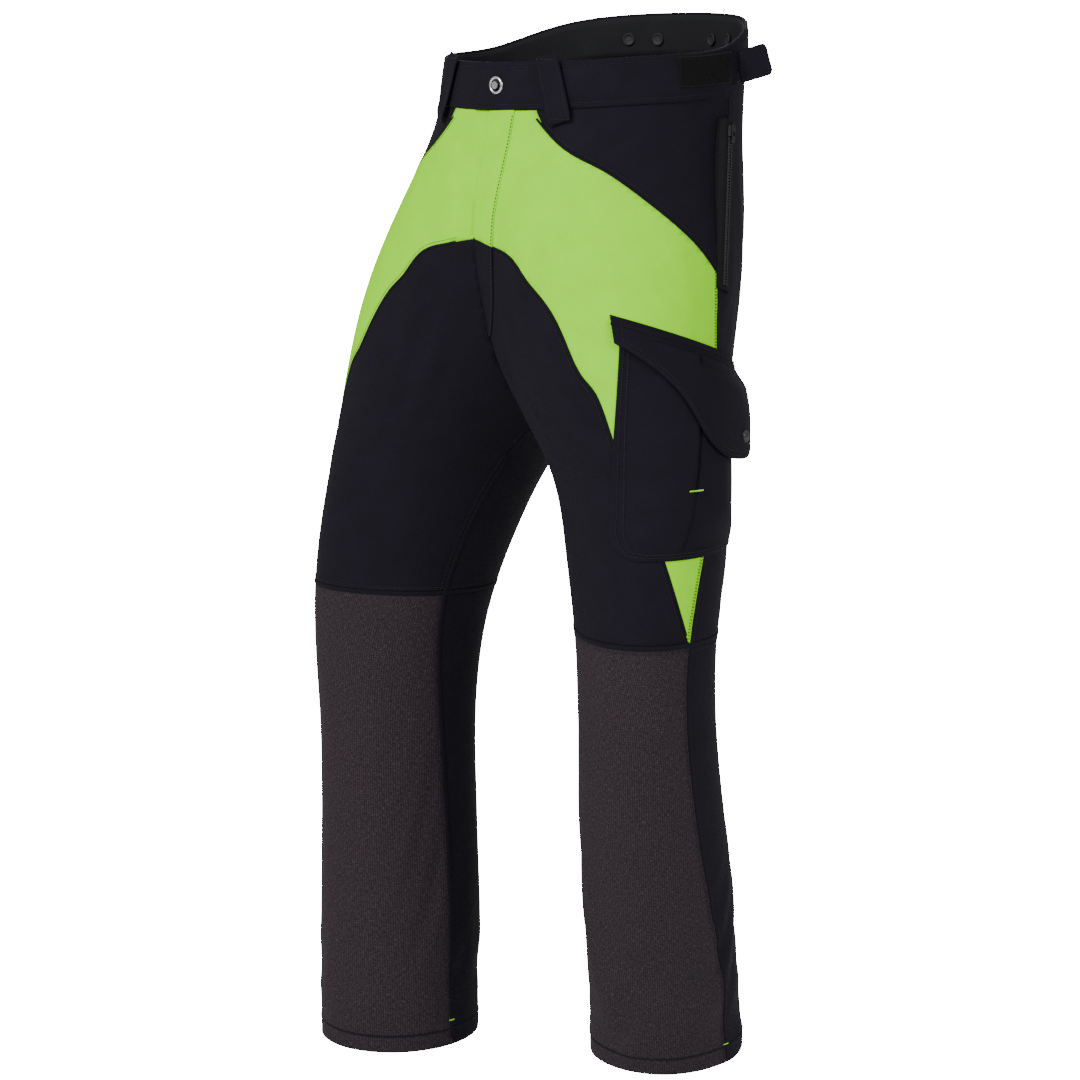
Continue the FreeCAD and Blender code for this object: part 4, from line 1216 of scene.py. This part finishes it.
def adjuster(side):
    leg = legs[side]
    rows, columns = 34, 110
    y = np.linspace(-46.0, 26.0, columns)
    top = np.interp(y, [-46, -20, 26], [-1, 0, 4])
    low = np.interp(y, [-46, -20, 26], [-35, -34, -31])
    v = np.linspace(0, 1, rows)[:, None]
    heights = top[None] + (low - top)[None] * v
    along = np.broadcast_to(y, heights.shape)
    away = np.minimum.reduce([v * 30 + 0 * heights, (1 - v) * 30 + 0 * heights, along + 46, 26 - along])
    tufts = np.random.default_rng(7).random(heights.shape)
    lifts = 2.6 + 1.6 * soft_step(away, 0, 2.0) + 0.7 * tufts * soft_step(away, 2.4, 3.2)
    design = np.stack([along, heights], -1)
    patch = design_sheet("loop_pile_" + side, leg, 90, design, lifts, pile_cloth,
                         thickness=1.2)
    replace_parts(patch, "loop_patch_" + side)
    for edge in (design[2], design[-3]):
        sewn_row(dark_thread, leg, 90, edge, 4.4)
    hinge = joint("adjuster_turn_" + side)["pos_m"]
    angle = math.radians(TAB_TURN if leg.sign > 0 else 180.0 - TAB_TURN)
    rise = math.radians(TAB_RISE)
    level = np.array([math.cos(angle), math.sin(angle), 0.0])
    length = level * math.cos(rise) + np.array([0, 0, math.sin(rise)])
    height = -level * math.sin(rise) + np.array([0, 0, math.cos(rise)])
    face = np.cross(length, height)
    root = np.array(hinge) / MM
    tab = Bundle()
    u = np.linspace(-1.5, TAB_LENGTH, 46)
    w = np.linspace(-1, 1, 35)
    grids = []
    for layer in (1.0, -1.0):
        for station in u:
            half = TAB_WIDTH / 2 - 5 * max(0.0, (station - TAB_LENGTH + 5) / 5) ** 2
            for b in w:
                a = station + TAB_ROOT_SLANT * max(0.0, b) * (TAB_LENGTH - station) / TAB_LENGTH
                rounding = math.sqrt(max(0.0, 1 - max(0.0, (abs(b) - 0.94) / 0.06) ** 2))
                rounding *= math.sqrt(max(0.0, 1 - max(0.0, (a - TAB_LENGTH + 1.2) / 1.2) ** 2))
                sewn = 0.35 * math.exp(-((abs(b) - 0.84) / 0.03) ** 2)
                curl = 0.0016 * max(0.0, a) ** 2
                thickness = layer * (1.2 * rounding - sewn * (1 if rounding > 0.9 else 0))
                grids.append(root + length * a + height * half * b + face * (thickness + curl))
    count = len(u) * len(w)
    faces = grid_faces(len(u), len(w))
    faces += [tuple(i + count for i in f[::-1]) for f in grid_faces(len(u), len(w))]
    rim = [i for i in range(len(w))] + [len(w) * k + len(w) - 1 for k in range(1, len(u))]
    rim += [count - 1 - i for i in range(1, len(w))] + [len(w) * k for k in range(len(u) - 2, 0, -1)]
    faces += [(rim[i], rim[(i + 1) % len(rim)], rim[(i + 1) % len(rim)] + count, rim[i] + count)
              for i in range(len(rim))]
    tab.add(np.array(grids), faces)
    piece = tab.solid_piece("adjuster_strap_" + side, dark_cloth, "hook_and_loop", "adjuster_" + side)
    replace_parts(piece, "adjuster_tab_" + side)
    rows = Bundle()
    for layer in (1.3, -1.2):
        corner = [(2, -0.8), (TAB_LENGTH - 4, -0.8), (TAB_LENGTH - 4, 0.8), (7, 0.8), (2, -0.8)]
        for (a0, b0), (a1, b1) in zip(corner, corner[1:]):
            t = np.linspace(0, 1, max(2, int(np.hypot(a1 - a0, (b1 - b0) * 17) / 3)))
            a, b = a0 + (a1 - a0) * t, (b0 + (b1 - b0) * t) * TAB_WIDTH / 2
            line = root + a[:, None] * length + b[:, None] * height
            line = line + face * (layer + 0.0016 * a[:, None] ** 2)
            stitch_row(rows, line, np.broadcast_to(face * np.sign(layer), line.shape).copy(), 0.0, 3.0, 0.3)
    stitched = rows.piece("adjuster_stitching_" + side, dark_thread_look, "hook_and_loop", "adjuster_" + side)
    heights = np.linspace(3, -31, 12)
    strip = np.stack([np.stack([np.full(12, forward), heights], -1) for forward in (33, 36, 40, 43, 46)])
    strip_lifts = np.array([2.4, 4.0, 4.6, 4.0, 2.4])[:, None] + 0 * strip[..., 0]
    base = design_sheet("adjuster_root_" + side, leg, 90, strip, strip_lifts, dark_cloth,
                        thickness=1.2)


# ---- zips ----

# Sideways place and lift of the tape over the teeth; its two edges lie on the leg instead.
ZIP_SECTION = [(-11.5, None), (-9.0, 2.0), (-6.0, 2.8), (-3.4, 2.9), (0.0, 2.6), (3.4, 2.9), (6.0, 2.8),
               (9.0, 2.0), (11.5, None)]


def hip_zip(side):
    leg = legs[side]
    top = np.array([184.0, 14.0, -74.0])
    bottom = np.array([222.0, -34.0, -236.0])
    stations = np.linspace(-0.03, 1.03, 40)
    line = top + (bottom - top) * stations[:, None]
    axis = np.array(joint("hip_pull_swing_" + side)["axis"])
    across = -axis * np.array([leg.sign, 1, 1])
    direction = (top - bottom) / np.linalg.norm(top - bottom)
    up = np.cross(-axis, direction * np.array([leg.sign, 1, 1]))
    up = up * np.array([leg.sign, 1, 1])
    if up[0] < 0:
        up = -up
    rows = []
    for point in line:
        ring = []
        for share, lift in ZIP_SECTION:
            place = point + across * share
            if lift is None:
                ring.append(leg.facing(90, np.array([place[1]]), np.array([place[2]]), 0.6)[0])
            else:
                ring.append((place + up * lift) * np.array([leg.sign, 1, 1]))
        rows.append(ring)
    points = np.array(rows).reshape(-1, 3)
    places = np.array([[c * 3.0, r * 4.4] for r in range(len(line)) for c in range(len(ZIP_SECTION))])
    faces = grid_faces(len(line), len(ZIP_SECTION))
    piece = make_piece("hip_zip_cloth_" + side, points, faces, tape_cloth, ROOT, places)
    recalculate(piece, (leg.sign, 0, 0))
    thicken(piece, 0.8)
    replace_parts(piece, "hip_zip_tape_" + side)


def soften(name, material, width=0.25):
    """A CAD piece with rounded edges and its own material."""
    part = frame["nodes"][name]
    part.data.materials.clear()
    part.data.materials.append(material)
    bevel = part.modifiers.new("rounding", "BEVEL")
    bevel.width = width * MM
    bevel.segments = 2
    bevel.limit_method = "ANGLE"


def hardware():
    for side in SIDES:
        hip_zip(side)
        adjuster(side)
        soften("hip_zip_teeth_" + side, dark_plastic, 0.15)
        soften("hip_zip_slider_" + side, dark_metal)
        soften("hip_zip_pull_" + side, dark_metal)
    looks = {"fly_zip_teeth": dark_plastic, "fly_zip_slider": dark_metal, "fly_zip_pull": dark_metal,
             "waist_tack": bright_metal}
    for name, look in looks.items():
        soften(name, look, 0.15)
    for name, look, slot in (("fly_zip_tape", tape_cloth, "tape"), ("fly_shield", dark_cloth, "dark_fabric")):
        low, high = (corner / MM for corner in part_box(name))
        u = np.linspace(low.x, high.x, 14)
        v = np.linspace(low.z, high.z, 50)
        points = np.array([(x, low.y + 0.4 + 0.3 * math.sin(z / 9.0) * (x / high.x) ** 2, z)
                           for z in v for x in u])
        piece = make_piece(name + "_cloth", points, grid_faces(50, 14), look, ROOT, points[:, [0, 2]])
        recalculate(piece, (0, -1, 0))
        thicken(piece, 0.8)
        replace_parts(piece, name)
    buttons = Bundle()
    for side, sign in SIDES.items():
        for azimuth in (150.0, 164.0):
            angle = math.radians(azimuth)
            out = Vector((sign * math.sin(angle), -math.cos(angle), 0))
            column = legs[side].column(azimuth, np.array([0.0]), np.array([14.0]))
            centre = Vector(legs[side].at(column, 14.0, -3.8)[0])
            turned(buttons, centre, -out, [(6.6, 0.0), (7.0, 0.9), (6.9, 2.0), (6.2, 2.6), (5.4, 2.2),
                                           (4.6, 1.6), (2.4, 1.5), (0.4, 1.5)])
    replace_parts(buttons.solid_piece("brace_button_set", matte_plastic, "dark_plastic"), "brace_buttons")
    bar_tack(lime_thread, legs["left"], 90, (-24.0, -1059.0), 7.0, 1.2, 1.2)
    bar_tack(lime_thread, legs["right"], 270, (136.0, -1085.0), 7.0, 1.2, 1.2)
    tacks = lime_thread.piece("lime_bar_tacks", lime_thread_look, "bright_thread")
    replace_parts(tacks, "bar_tacks")


for side_name in SIDES:
    leg_inside(side_name)
    leg_seams(side_name)
waistband()
belt_loops()
waist_button()
fly()
cargo_bag()
cargo_flap()
hardware()
dark_seams.piece("seam_folds", dark_cloth, "dark_fabric")
lime_seams.piece("lime_seam_folds", lime_cloth, "bright_fabric")
dark_thread.piece("dark_stitching", dark_thread_look, "dark_fabric")


# ---- camera, floor and light ----

CAMERA_DISTANCE = 3.2
CAMERA_HEIGHT = 0.03
camera_data = bpy.data.cameras.new("camera")
camera_data.lens = 97.07
camera_data.sensor_width = 36.0
camera = bpy.data.objects.new("camera", camera_data)
camera.location = (CAMERA_DISTANCE * math.sqrt(0.5), -CAMERA_DISTANCE * math.sqrt(0.5), CAMERA_HEIGHT)
camera.rotation_euler = Euler((math.radians(90 - 10.03), 0, math.radians(45 + 1.06)))
bpy.context.scene.collection.objects.link(camera)
bpy.context.scene.camera = camera

FLOOR = cad_box[0][2] - 0.004
floor_mesh = bpy.data.meshes.new("floor")
reach = 40.0
floor_mesh.from_pydata([(-reach, -reach, FLOOR), (reach, -reach, FLOOR), (reach, reach, FLOOR),
                        (-reach, reach, FLOOR)], [], [(0, 1, 2, 3)])
floor = bpy.data.objects.new("floor", floor_mesh)
bpy.context.scene.collection.objects.link(floor)


def seen_glow(nodes, links, lit, seen):
    """A strength that is `seen` when looked at and `lit` as a source of light."""
    rays = nodes.new("ShaderNodeLightPath")
    strength = math_node(nodes, links, "MULTIPLY_ADD", rays.outputs["Is Camera Ray"], seen - lit)
    strength.node.inputs[2].default_value = lit
    return strength


world = bpy.data.worlds.new("studio")
world.use_nodes = True
background = world.node_tree.nodes["Background"]
background.inputs["Color"].default_value = (1, 1, 1, 1)
world.node_tree.links.new(seen_glow(world.node_tree.nodes, world.node_tree.links, 0.5, 30.0),
                          background.inputs["Strength"])
bpy.context.scene.world = world

floor_material, floor_nodes, floor_links, floor_shader = new_material("pale_floor")
floor_shader.inputs["Base Color"].default_value = (0.95, 0.95, 0.95, 1)
floor_shader.inputs["Roughness"].default_value = 0.9
floor_shader.inputs["Emission Color"].default_value = (1, 1, 1, 1)
floor_links.new(seen_glow(floor_nodes, floor_links, 0.0, 30.0), floor_shader.inputs["Emission Strength"])
floor_mesh.materials.append(floor_material)


def area_light(name, place, size, power):
    light = bpy.data.lights.new(name, "AREA")
    light.size = size
    light.energy = power
    lamp = bpy.data.objects.new(name, light)
    lamp.location = place
    lamp.rotation_euler = (Vector((0, 0, -0.5)) - Vector(place)).to_track_quat("-Z", "Y").to_euler()
    bpy.context.scene.collection.objects.link(lamp)


area_light("key", (0.2, -3.6, 2.0), 1.6, 190)
area_light("side", (3.6, 0.2, 1.0), 1.6, 60)
area_light("back", (-2.4, 2.6, 1.6), 1.8, 60)
